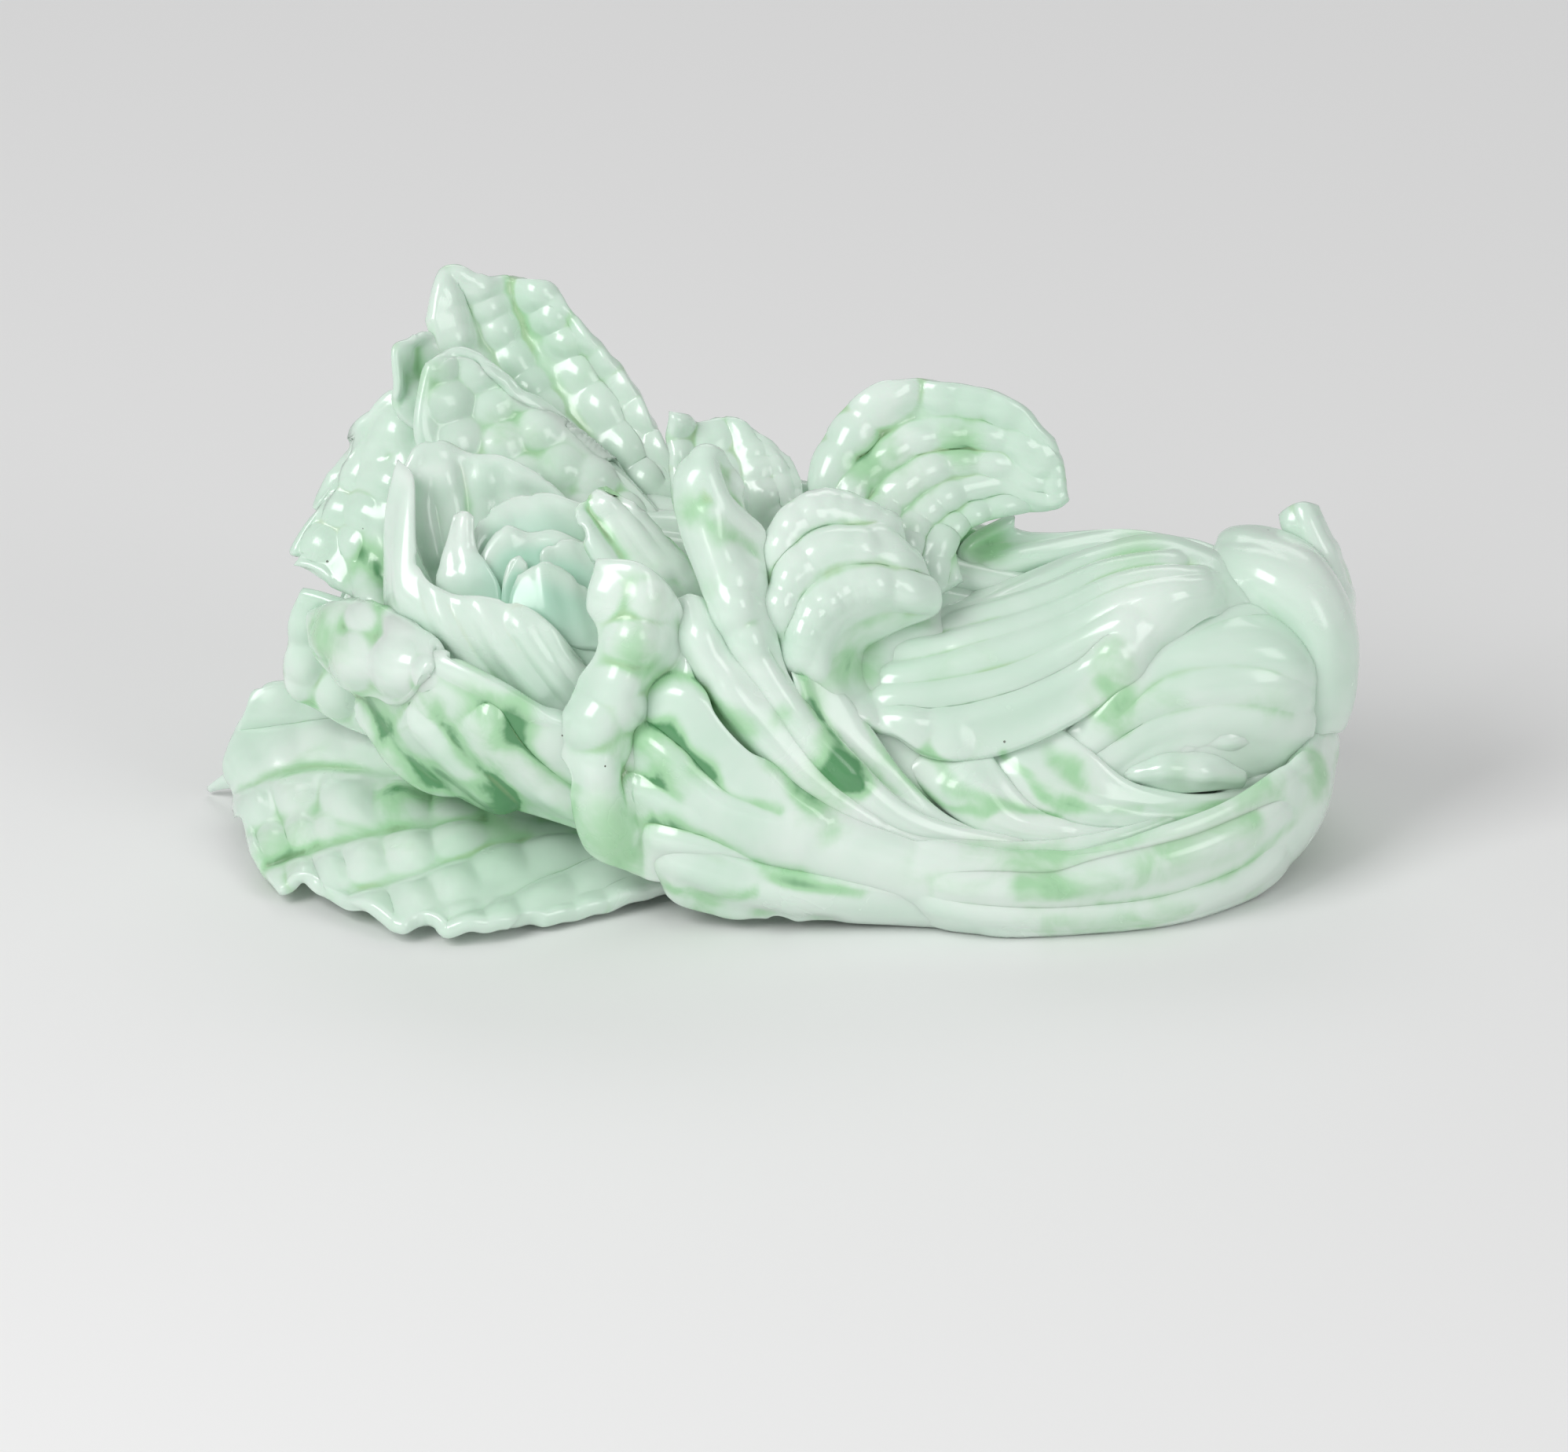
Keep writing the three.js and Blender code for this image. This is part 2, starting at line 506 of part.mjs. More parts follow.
const stemThreePixels = [
  [[1430, 1068, 110], [1430, 1075, 105], [1430, 1082, 105]],
  [[1300, 1068, 95], [1290, 1080, 88], [1280, 1090, 88]],
  [[1210, 1040, 95], [1180, 1050, 85], [1160, 1060, 85]],
  [[1150, 985, 110], [1120, 1000, 97], [1095, 1005, 92]],
  [[1110, 930, 130], [1060, 930, 112], [1030, 930, 108]],
  [[1050, 850, 150], [1020, 860, 132], [1005, 850, 135]],
];

// Leaves at the back, which the picture doesn't reach, laid out in the same way
const rearStalkShares = [
  [[0.975, 0.5, 0.16], [0.98, 0.56, 0.19], [0.97, 0.6, 0.25], [0.955, 0.58, 0.3]],
  [[0.925, 0.7, 0.02], [0.935, 0.78, 0.09], [0.93, 0.79, 0.19], [0.92, 0.71, 0.28]],
  [[0.82, 0.85, 0.01], [0.82, 0.93, 0.08], [0.82, 0.92, 0.19], [0.82, 0.83, 0.27]],
  [[0.66, 0.91, 0.01], [0.66, 0.98, 0.09], [0.66, 0.96, 0.21], [0.66, 0.86, 0.3]],
  [[0.5, 0.91, 0.01], [0.49, 0.98, 0.1], [0.48, 0.96, 0.24], [0.47, 0.86, 0.35]],
  [[0.36, 0.93, 0.01], [0.34, 0.98, 0.1], [0.32, 0.97, 0.26], [0.31, 0.9, 0.42]],
  [[0.25, 0.96, 0.01], [0.22, 0.98, 0.1], [0.19, 0.98, 0.26], [0.18, 0.97, 0.43]],
  [[0.17, 0.98, 0.02], [0.13, 0.97, 0.1], [0.12, 0.97, 0.22], [0.125, 0.98, 0.36]],
  [[0.13, 0.97, 0.05], [0.105, 0.97, 0.1], [0.1, 0.97, 0.18], [0.105, 0.98, 0.27]],
];
const rearStalkVeinShares = [
  [0.2, 0.2],
  [0.4, 0.4],
  [0.6, 0.6],
  [0.8, 0.8],
];
const rearWallShares = [
  [[0.9, 0.66, 0.25], [0.9, 0.72, 0.31], [0.89, 0.71, 0.37], [0.88, 0.63, 0.41]],
  [[0.76, 0.78, 0.26], [0.76, 0.84, 0.33], [0.76, 0.8, 0.4], [0.76, 0.7, 0.44]],
  [[0.6, 0.82, 0.3], [0.59, 0.87, 0.4], [0.58, 0.82, 0.49], [0.58, 0.71, 0.53]],
  [[0.46, 0.84, 0.35], [0.44, 0.89, 0.47], [0.43, 0.85, 0.57], [0.43, 0.74, 0.61]],
  [[0.34, 0.88, 0.38], [0.31, 0.92, 0.53], [0.3, 0.9, 0.67], [0.32, 0.84, 0.76]],
  [[0.25, 0.93, 0.4], [0.21, 0.93, 0.53], [0.2, 0.93, 0.66], [0.225, 0.93, 0.78]],
  [[0.2, 0.96, 0.43], [0.165, 0.95, 0.51], [0.16, 0.95, 0.6], [0.19, 0.96, 0.7]],
];
const rearFanShares = [
  [[0.92, 0.56, 0.38], [0.9, 0.6, 0.44], [0.88, 0.55, 0.47]],
  [[0.78, 0.66, 0.41], [0.77, 0.7, 0.48], [0.75, 0.62, 0.51]],
  [[0.64, 0.7, 0.46], [0.61, 0.74, 0.56], [0.59, 0.66, 0.61]],
  [[0.54, 0.73, 0.5], [0.5, 0.75, 0.61], [0.48, 0.7, 0.66]],
  [[0.46, 0.77, 0.54], [0.42, 0.76, 0.65], [0.41, 0.77, 0.71]],
];
const rearTopShares = [
  [[0.86, 0.55, 0.4], [0.85, 0.52, 0.45], [0.84, 0.47, 0.47]],
  [[0.72, 0.62, 0.45], [0.71, 0.57, 0.51], [0.7, 0.5, 0.51]],
  [[0.58, 0.66, 0.51], [0.57, 0.59, 0.57], [0.57, 0.51, 0.55]],
  [[0.46, 0.7, 0.54], [0.45, 0.62, 0.61], [0.45, 0.55, 0.57]],
  [[0.39, 0.72, 0.58], [0.38, 0.66, 0.63], [0.4, 0.6, 0.6]],
];
const rearLeftShares = [
  [[0.32, 0.72, 0.16], [0.31, 0.78, 0.34], [0.32, 0.74, 0.5]],
  [[0.22, 0.8, 0.13], [0.2, 0.85, 0.34], [0.22, 0.82, 0.54]],
  [[0.15, 0.83, 0.11], [0.13, 0.85, 0.3], [0.155, 0.85, 0.47]],
  [[0.12, 0.82, 0.12], [0.105, 0.83, 0.22], [0.12, 0.84, 0.35]],
];

// The core as rings: a share of the length, then the ring's middle as shares of the depth and the
// height, and its half width and half height as shares of the same
const coreRingShares = [
  [0.15, 0.62, 0.2, 0.04, 0.05],
  [0.19, 0.64, 0.24, 0.14, 0.19],
  [0.25, 0.63, 0.28, 0.2, 0.28],
  [0.33, 0.61, 0.29, 0.25, 0.32],
  [0.43, 0.57, 0.28, 0.3, 0.34],
  [0.54, 0.53, 0.25, 0.33, 0.32],
  [0.66, 0.53, 0.23, 0.33, 0.28],
  [0.78, 0.54, 0.21, 0.31, 0.25],
  [0.88, 0.55, 0.22, 0.22, 0.22],
  [0.94, 0.56, 0.23, 0.13, 0.16],
  [0.97, 0.56, 0.24, 0.05, 0.08],
];
const coreSides = 16;
// How much wider the core is at its foot than at its middle, as a share of its half width
const coreFootShare = 0.15;

function coreBody() {
  const points = [];
  const triangles = [];
  for (const [lengthShare, depthShare, heightShare, halfDepthShare, halfHeightShare] of coreRingShares) {
    const middle = hidden([lengthShare, depthShare, heightShare]);
    for (let side = 0; side < coreSides; side += 1) {
      const turn = 2 * Math.PI * side / coreSides;
      const spread = 1 - coreFootShare * Math.sin(turn);
      points.push(new THREE.Vector3(
        middle.x,
        middle.y + Math.cos(turn) * spread * halfDepthShare * carvingDepth,
        middle.z + Math.sin(turn) * halfHeightShare * carvingHeight,
      ));
    }
  }
  const last = (coreRingShares.length - 1) * coreSides;
  for (let ring = 0; ring < last; ring += coreSides) {
    for (let side = 0; side < coreSides; side += 1) {
      const next = (side + 1) % coreSides;
      triangles.push([ring + side, ring + next, ring + coreSides + next]);
      triangles.push([ring + side, ring + coreSides + next, ring + coreSides + side]);
    }
  }
  for (let side = 1; side < coreSides - 1; side += 1) {
    triangles.push([0, side + 1, side]);
    triangles.push([last, last + side, last + side + 1]);
  }
  return solidFrom(points, triangles);
}

// Each leaf with its patches, its thicknesses and its colour, those in front first: a leaf that
// comes later is cut back where it meets an earlier one
const paleJade = '#d5ebdb';
const mintJade = '#c2e0c8';
const greenJade = '#a7d2ab';
const inPicture = (table) => table.map((row) => row.map(seen));
const atBack = (table) => table.map((row) => row.map(hidden));
const leaves = [
  ['front_curl_leaf', [inPicture(frontCurlPixels)], stalkPair, mintJade],
  ['low_front_leaf', [inPicture(lowFrontPixels)], leafPair, greenJade],
  ['front_inner_leaf', [inPicture(frontInnerPixels)], leafPair, paleJade],
  ['small_curl_leaf', [inPicture(smallCurlPixels)], leafPair, mintJade],
  ['stem_leaf_low', [inPicture(stemThreePixels)], fanPair, greenJade],
  ['stem_leaf_middle', [inPicture(stemTwoPixels)], fanPair, paleJade],
  ['stem_leaf_high', [inPicture(stemOnePixels)], fanPair, mintJade],
  ['small_leaf_lower', [inPicture(smallLowerPixels)], heartPair, mintJade],
  ['small_leaf_upper', [inPicture(smallUpperPixels)], heartPair, paleJade],
  ['swept_curl_leaf', [inPicture(sweptCurlPixels)], leafPair, paleJade],
  ['belly_leaf', [inPicture(bellyPixels)], bellyPair, mintJade],
  ['front_left_leaf', [inPicture(frontLeftPixels)], leafPair, greenJade,
    { veinShares: frontLeftVeinShares, side: towardsPicture }],
  ['spread_leaf', [inPicture(spreadPixels), inPicture(spreadSpikePixels)],
    leafPair, mintJade, { veinShares: spreadVeinShares, side: towardsPicture }],
  ['outer_petal_front', [inPicture(outerPetalFrontPixels)], petalPair, paleJade],
  ['spike_petal', [inPicture(spikePetalPixels)], heartPair, paleJade],
  ['heart_petal_low', [inPicture(heartLowPixels)], heartPair, mintJade],
  ['heart_petal_front', [inPicture(heartFrontPixels)], heartPair, paleJade],
  ['heart_petal_left', [inPicture(heartLeftPixels)], heartPair, greenJade],
  ['heart_petal_right', [inPicture(heartRightPixels)], heartPair, greenJade],
  ['inner_ring_petal', [inPicture(innerRingPetalPixels)], heartPair, mintJade],
  ['ring_petal', [inPicture(ringPetalPixels)], heartPair, greenJade],
  ['outer_petal_back', [inPicture(outerPetalBackPixels)], petalPair, mintJade],
  ['jagged_petal', [inPicture(jaggedPetalPixels)], petalPair, greenJade],
  ['mid_back_leaf', [inPicture(midBackPixels)], leafPair, mintJade],
  ['left_low_leaf', [inPicture(leftLowPixels)], leafPair, greenJade],
  ['left_scalloped_leaf', [inPicture(leftScallopedPixels)], leafPair, paleJade],
  ['second_back_leaf', [inPicture(secondBackPixels)], leafPair, mintJade],
  ['back_fold_leaf', [inPicture(backFoldPixels)], petalPair, greenJade],
  ['tall_back_leaf', [inPicture(tallBackPixels)], stalkPair, paleJade],
  ['end_leaf', [inPicture(endLeafPixels)], petalPair, paleJade],
  ['end_stalk', [inPicture(endStalkPixels)], bellyPair, mintJade],
  ['fan_leaf', [inPicture(fanPixels), inPicture(fanStemPixels)], fanPair, mintJade,
    { veinShares: fanVeinShares, side: towardsPicture }],
  ['rear_stalk_leaf', [atBack(rearStalkShares)], stalkPair, mintJade,
    { veinShares: rearStalkVeinShares, side: towardsBack }],
  ['rear_wall_leaf', [atBack(rearWallShares)], leafPair, greenJade],
  ['rear_top_leaf', [atBack(rearTopShares)], leafPair, mintJade],
  ['rear_fan_leaf', [atBack(rearFanShares)], leafPair, paleJade],
  ['rear_left_leaf', [atBack(rearLeftShares)], leafPair, mintJade],
];

function leafSolid(patches, thicknesses, swell, veins) {
  const sheets = patches.map((sections, index) => (
    sheet(sections, thicknesses, swell, index === 0 ? veins : undefined)));
  return sheets.reduce((whole, next) => whole.add(next));
}

// Everything below the resting face, which is cut away
const underFloor = solidOf(new THREE.BoxGeometry(2 * carvingLength, 2 * carvingDepth, carvingHeight)
  .translate(0, 0, -carvingHeight / 2));

function largestPiece(solid) {
  return solid.decompose().reduce((best, next) => (next.volume() > best.volume() ? next : best));
}

function touches(one, other) {
  const a = one.boundingBox();
  const b = other.boundingBox();
  return a.min.every((low, axis) => low < b.max[axis] && b.min[axis] < a.max[axis]);
}

const polishedRoughness = 0.25;
const carving = new THREE.Group();

function addPiece(name, solid, colour) {
  const { vertProperties, triVerts } = solid.getMesh();
  const geometry = new THREE.BufferGeometry();
  geometry.setAttribute('position', new THREE.BufferAttribute(vertProperties, 3));
  geometry.setIndex(new THREE.BufferAttribute(triVerts, 1));
  const material = new THREE.MeshStandardMaterial({
    color: colour,
    roughness: polishedRoughness,
    metalness: 0,
  });
  const mesh = new THREE.Mesh(geometry, material);
  mesh.name = name;
  carving.add(mesh);
}

const cutters = [];
for (const [name, patches, thicknesses, colour, veins] of leaves) {
  let solid = leafSolid(patches, thicknesses, 0, veins).subtract(underFloor);
  for (const cutter of cutters) {
    if (touches(solid, cutter)) {
      solid = solid.subtract(cutter);
    }
  }
  addPiece(name, largestPiece(solid), colour);
  cutters.push(leafSolid(patches, thicknesses, cutGap, veins));
}
const core = cutters.reduce((solid, cutter) => solid.subtract(cutter), coreBody().subtract(underFloor));
addPiece('core', largestPiece(core), mintJade);

export default carving;
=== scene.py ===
# %% [markdown]
# # A carved jade cabbage
# This scene dresses a jade carving of a cabbage that lies on its side. The real thing is one
# polished stone: pale, milky green-white jadeite with apple-green clouds. Its carver cut every
# leaf as a thin sheet with veins, blisters and a ruffled rim. The solids from the workshop model
# give every leaf its place. Here each one is replaced by a finely carved sheet on the same surface.

# %% Load the frame
import json
import math

import bpy
import numpy as np
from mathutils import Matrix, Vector


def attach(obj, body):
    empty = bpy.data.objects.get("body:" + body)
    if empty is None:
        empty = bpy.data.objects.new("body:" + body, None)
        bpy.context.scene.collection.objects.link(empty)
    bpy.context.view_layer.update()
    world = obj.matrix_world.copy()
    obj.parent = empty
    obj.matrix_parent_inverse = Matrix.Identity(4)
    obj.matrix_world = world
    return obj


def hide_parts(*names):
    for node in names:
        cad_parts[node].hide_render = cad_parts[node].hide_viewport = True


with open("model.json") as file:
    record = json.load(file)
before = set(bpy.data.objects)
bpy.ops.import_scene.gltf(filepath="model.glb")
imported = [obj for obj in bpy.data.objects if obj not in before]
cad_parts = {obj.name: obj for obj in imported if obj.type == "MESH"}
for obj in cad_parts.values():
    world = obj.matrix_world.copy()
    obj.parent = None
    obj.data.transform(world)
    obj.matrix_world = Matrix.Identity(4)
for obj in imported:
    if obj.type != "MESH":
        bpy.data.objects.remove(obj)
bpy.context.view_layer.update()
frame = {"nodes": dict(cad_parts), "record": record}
print("CAD nodes:", len(frame["nodes"]))

# %% [markdown]
# ## Where a leaf lies
# The leaves were laid out over a picture of the carving. A place is written as three numbers in the
# picture's pixels: across, down, and how far back it is from the front edge of the carving. The
# picture looks down on the carving at 25 degrees, so its height follows from the other two.
# Leaves at the back, which the picture can't show, are written as shares of the whole size.

# %% Sizes and places
MM = 0.001
CARVING_LENGTH = 170 * MM
CARVING_DEPTH = 76 * MM
CARVING_HEIGHT = 80 * MM
VIEW_TILT = math.radians(25)
LEFTMOST_PIXEL = 253
RIGHTMOST_PIXEL = 1722
FLOOR_PIXEL = 1215
REARMOST_PIXEL = 655
TOP_TIP_PIXELS = (575, 334, 600)
PICTURE_WIDTH = 1996
PICTURE_HEIGHT = 1848

MIDDLE_PIXEL = (LEFTMOST_PIXEL + RIGHTMOST_PIXEL) / 2
MIDDLE_BACK_PIXEL = REARMOST_PIXEL / 2


def rise_pixels(down, back):
    return (FLOOR_PIXEL - down - back * math.sin(VIEW_TILT)) / math.cos(VIEW_TILT)


ACROSS_SCALE = CARVING_LENGTH / (RIGHTMOST_PIXEL - LEFTMOST_PIXEL)
BACK_SCALE = CARVING_DEPTH / REARMOST_PIXEL
RISE_SCALE = CARVING_HEIGHT / rise_pixels(*TOP_TIP_PIXELS[1:])


def seen(table):
    """Places of a table that was read off the picture, in metres."""
    table = np.array(table, float)
    across, down, back = table[..., 0], table[..., 1], table[..., 2]
    return np.stack([
        (across - MIDDLE_PIXEL) * ACROSS_SCALE,
        (back - MIDDLE_BACK_PIXEL) * BACK_SCALE,
        rise_pixels(down, back) * RISE_SCALE,
    ], axis=-1)


def hidden(table):
    """Places of a table of shares of the length, the depth and the height, in metres."""
    size = (CARVING_LENGTH, CARVING_DEPTH, CARVING_HEIGHT)
    return (np.array(table, float) - (0.5, 0.5, 0)) * size


def picture_place(points):
    """Where points show in the picture, in its pixels across and down."""
    across = points[..., 0] / ACROSS_SCALE + MIDDLE_PIXEL
    back = points[..., 1] / BACK_SCALE + MIDDLE_BACK_PIXEL
    rise = points[..., 2] / RISE_SCALE
    down = FLOOR_PIXEL - rise * math.cos(VIEW_TILT) - back * math.sin(VIEW_TILT)
    return across, down


print("one pixel is", round(ACROSS_SCALE / MM, 4), "mm")

# %% [markdown]
# ## The surface of a leaf
# A leaf is a smooth surface through a few sections. A section runs from one side of the leaf to the
# other, and the sections follow each other from the stem to the tip. A Catmull-Rom curve passes
# through all its points, so the points can be read straight off the picture.

# %% A smooth surface through sections
def curve_weights(t, count):
    """For places t from 0 to 1 on a curve of count points: four point numbers and their weights."""
    place = np.asarray(t, float) * (count - 1)
    first = np.clip(np.floor(place).astype(int), 0, count - 2)
    w = np.clip(place - first, 0, 1)
    slope_in = w ** 3 - 2 * w ** 2 + w
    slope_out = w ** 3 - w ** 2
    start = 2 * w ** 3 - 3 * w ** 2 + 1
    weights = [-slope_in / 2, start - slope_out / 2, 1 - start + slope_in / 2, slope_out / 2]
    return [first, first + 1, first + 2, first + 3], weights


def with_ends(points, axis):
    """Adds a ghost point before the first and after the last, straight on from the last two."""
    first, second = np.take(points, [0], axis), np.take(points, [1], axis)
    last, before = np.take(points, [-1], axis), np.take(points, [-2], axis)
    return np.concatenate([2 * first - second, points, 2 * last - before], axis)


def on_curve(points, t):
    """Points of a smooth curve through the given ones."""
    padded = with_ends(points, 0)
    numbers, weights = curve_weights(t, len(points))
    return sum(padded[number] * weight[..., None] for number, weight in zip(numbers, weights))


def surface(sections, across, along):
    """Points of the leaf's surface at the given places across and along it."""
    padded = with_ends(with_ends(sections, 0), 1)
    rows, row_weights = curve_weights(along, sections.shape[0])
    columns, column_weights = curve_weights(across, sections.shape[1])
    total = 0
    for row, row_weight in zip(rows, row_weights):
        for column, column_weight in zip(columns, column_weights):
            total = total + padded[row, column] * (row_weight * column_weight)[..., None]
    return total


FINE_STEPS = 200


def even_steps(sections, along):
    """Turns even steps along the leaf into places on its curve, and measures its length.

    With even steps, the cells of a leaf's grid all keep one length.
    """
    fine = np.linspace(0, 1, FINE_STEPS)
    middle = surface(sections, np.full_like(fine, 0.5), fine)
    lengths = np.linalg.norm(np.diff(middle, axis=0), axis=1)
    travelled = np.concatenate([[0], np.cumsum(lengths)])
    return np.interp(along, travelled / travelled[-1], fine), travelled[-1]


print("half way along a smooth curve through 0, 1 and 4 is",
      on_curve(np.array([[0.0], [1.0], [4.0]]), np.array([0.5])).round(2))

# %% [markdown]
# ## Carved relief
# A cabbage leaf has veins that part it into lanes, and every lane is a row of blisters, soft lumps
# that catch the light. Stems have long smooth ridges. Where the picture shows a leaf, each ridge,
# groove and row of blisters was read off it and is written as a line in the picture's pixels. Its
# height is in millimetres over the leaf's own surface. Leaves that can't be seen have rows of
# blisters laid out by a rule. A slow random wander keeps both from being even.

# %% Wander
WANDER_PERIOD = 64


def smoothstep(low, high, x):
    t = np.clip((x - low) / (high - low), 0, 1)
    return t * t * (3 - 2 * t)


def wander(x, y, seed):
    """Smooth random values from -1 to 1 that change about once per unit."""
    table = np.random.RandomState(seed).uniform(-1, 1, (WANDER_PERIOD, WANDER_PERIOD))
    i, j = np.floor(x).astype(int), np.floor(y).astype(int)
    fx, fy = smoothstep(0, 1, x - i), smoothstep(0, 1, y - j)
    i, j = i % WANDER_PERIOD, j % WANDER_PERIOD
    next_i, next_j = (i + 1) % WANDER_PERIOD, (j + 1) % WANDER_PERIOD
    first = table[i, j] * (1 - fx) + table[next_i, j] * fx
    second = table[i, next_j] * (1 - fx) + table[next_i, next_j] * fx
    return first * (1 - fy) + second * fy


print("wander at five places:", wander(np.linspace(0, 2, 5), np.zeros(5), 1).round(2))

# %% Relief that was read off the picture
LINE_STEPS = 20
# How full the blisters are, how far they reach past their width, and how uneven they are
PILLOW_POWER = 1.2
LUMP_POWER = 1.2
ROW_SPREAD = 1.2
DOME_SPREAD = 1.15
BEAT_WANDER = 0.35
LUMP_SIZE = 0.85
LUMP_SIZE_WANDER = 0.25
FOLD_END_POWER = 8


def near_line(across, down, points):
    """How far picture places are from a smooth line, how far along it, and on which side of it.

    The way along it goes from 0 to 1. The side is 1 below a line that runs to the right, and -1
    above it.
    """
    line = on_curve(np.array(points, float), np.linspace(0, 1, LINE_STEPS))
    nearest = np.full(across.shape, np.inf)
    travelled = np.zeros(across.shape)
    side = np.ones(across.shape)
    for number, (start, end) in enumerate(zip(line[:-1], line[1:])):
        way = end - start
        part = ((across - start[0]) * way[0] + (down - start[1]) * way[1]) / (way @ way)
        part = np.clip(part, 0, 1)
        distance = np.hypot(across - start[0] - part * way[0], down - start[1] - part * way[1])
        turned = way[0] * (down - start[1]) - way[1] * (across - start[0])
        closer = distance < nearest
        travelled = np.where(closer, (number + part) / (LINE_STEPS - 1), travelled)
        side = np.where(closer, np.where(turned < 0, -1, 1), side)
        nearest = np.minimum(distance, nearest)
    return nearest, travelled, side


def pillow(fraction):
    """A blister's height from its middle, at 0, to its border, at 1."""
    return np.clip(1 - fraction ** 2, 0, 1) ** PILLOW_POWER


def ridge(points, width, height, end_share=1.0):
    """A rounded ridge along a line, or a groove where the height is negative."""
    def rise(across, down):
        distance, travelled, _ = near_line(across, down, points)
        return height * (1 + (end_share - 1) * travelled) * np.exp(-(distance / width) ** 2)
    return rise


def fold(points, height, reach, end_share=1.0, turn=1, edge=7):
    """A step up across a line that fades out over a long reach, like one fold lying on the next.

    It rises on the side below a line that runs to the right, or with turn=-1 on the other side.
    """
    def rise(across, down):
        distance, travelled, side = near_line(across, down, points)
        signed = distance * side * turn
        ends = np.sqrt(np.clip(1 - (2 * travelled - 1) ** FOLD_END_POWER, 0, 1))
        share = 1 + (end_share - 1) * travelled
        step = smoothstep(-edge, edge, signed)
        return height * share * ends * step * np.exp(-np.maximum(signed, 0) / reach)
    return rise


def blister_row(points, count, width, height, seed=1, dip=0.85):
    """A row of blisters along a line. Dip is how far it sinks between two, as a share."""
    def rise(across, down):
        distance, travelled, _ = near_line(across, down, points)
        beat = count * travelled + BEAT_WANDER * wander(travelled * count / 2, travelled * 0, seed)
        size = LUMP_SIZE + LUMP_SIZE_WANDER * wander(travelled * count, travelled * 0 + 5, seed)
        lumps = 1 - dip + dip * np.abs(np.sin(math.pi * beat)) ** LUMP_POWER
        return height * size * lumps * pillow(distance / (ROW_SPREAD * width))
    return rise


def dome(middle_across, middle_down, radius, height, stretch=1.0):
    """One blister. Stretch makes it longer down the picture than across."""
    def rise(across, down):
        distance = np.hypot(across - middle_across, (down - middle_down) / stretch)
        return height * pillow(distance / (DOME_SPREAD * radius))
    return rise


print("a ridge 1 mm high and 5 pixels wide is this high across it:", ridge([(0, 0), (0, 10)], 5, 1)(
    np.array([0, 2.5, 5, 10]), np.full(4, 5.0)).round(2))

# %% Relief laid out by a rule
# How uneven and how low the cells of a row are, how they arch, and the vein between two rows
CELL_WANDER = 0.6
CELL_LOW = 0.35
CELL_POWER = 0.8
ARROW = 0.5
VEIN_HEIGHT = 0.3
VEIN_WIDTH = 0.07
MEAN_SIZE = 0.75
SIZE_WANDER = 0.25
RIDGE_FADE = 0.8


def lane_blisters(across, along, lanes, cells, seed, bend):
    """Rows of blisters with a thin raised vein between each two rows, from 0 to about 1."""
    across = across + bend / lanes * wander(across * 2.3, along * 3, seed)
    lane_place = lanes * across
    lane = np.floor(lane_place)
    valley = np.abs(lane_place - np.round(lane_place))
    shifts = np.random.RandomState(seed + 1).uniform(0, 1, WANDER_PERIOD)
    shift = shifts[lane.astype(int) % WANDER_PERIOD]
    arrow = ARROW * np.abs(lane_place - lane - 0.5)
    drift = CELL_WANDER * wander(across * 3, along * cells / 2, seed + 2)
    cell = cells * along + shift + arrow + drift
    size = MEAN_SIZE + SIZE_WANDER * wander(lane * 7.3, cell, seed + 3)
    lump = (CELL_LOW + (1 - CELL_LOW) * np.abs(np.sin(math.pi * cell)) ** CELL_POWER) * size
    vein = VEIN_HEIGHT * np.exp(-(valley / VEIN_WIDTH) ** 2)
    return lump * np.sin(math.pi * valley) + vein


def long_ridges(across, along, ridges, seed, bend=0.4):
    """Long smooth ridges of a stem, from 0 to 1."""
    place = ridges * (across + bend / ridges * wander(across * 3, along * 3, seed))
    sizes = MEAN_SIZE + SIZE_WANDER * wander(np.floor(place) * 5.1, along * 2, seed + 1)
    return sizes * np.abs(np.sin(math.pi * place))


def rule(ridges=0, ridge_height=0.0, lanes=0, cells=0, blister=0.0, change=(0.3, 0.5), seed=1,
         swell=0.25, bend=0.4):
    """Ridges on the stem part of a leaf that turn into blisters on its blade part.

    With a seed alone it is only a slow swell, for leaves whose relief was read off the picture.
    """
    def rise(across, along):
        blade = smoothstep(change[0], change[1], along)
        height = swell * wander(across * 3, along * 5, seed + 20)
        if ridges:
            stalks = long_ridges(across, along, ridges, seed, bend)
            height = height + ridge_height * stalks * (1 - RIDGE_FADE * blade)
        if lanes:
            lumps = lane_blisters(across, along, lanes, cells, seed + 10, bend)
            height = height + blister * lumps * blade
        return height
    return rise


print("a rule's swell along the middle of a leaf, in millimetres:",
      rule(seed=3)(np.full(5, 0.5), np.linspace(0, 1, 5)).round(2))

# %% [markdown]
# ## Jade
# Jadeite looks deep because light goes a little way into it. The colour is a milky white that leans
# to mint, with apple-green clouds, and a painted teal shade deep between the leaves. Old polish
# leaves a trace of brown in the narrowest grooves. One node group makes that colour from three
# values
# that are stored on every vertex: how green it is, with some painted shade in the valleys, how deep
# the groove is, and how much painted teal shade it gets between the leaves. Three slots of the same
# stone use it with their own values.

# %% The jade colour group
def linear(red, green, blue):
    """A colour given as it looks on a screen, as Blender's linear values."""
    values = [value / 12.92 if value <= 0.04045 else ((value + 0.055) / 1.055) ** 2.4
              for value in (red, green, blue)]
    return (*values, 1)


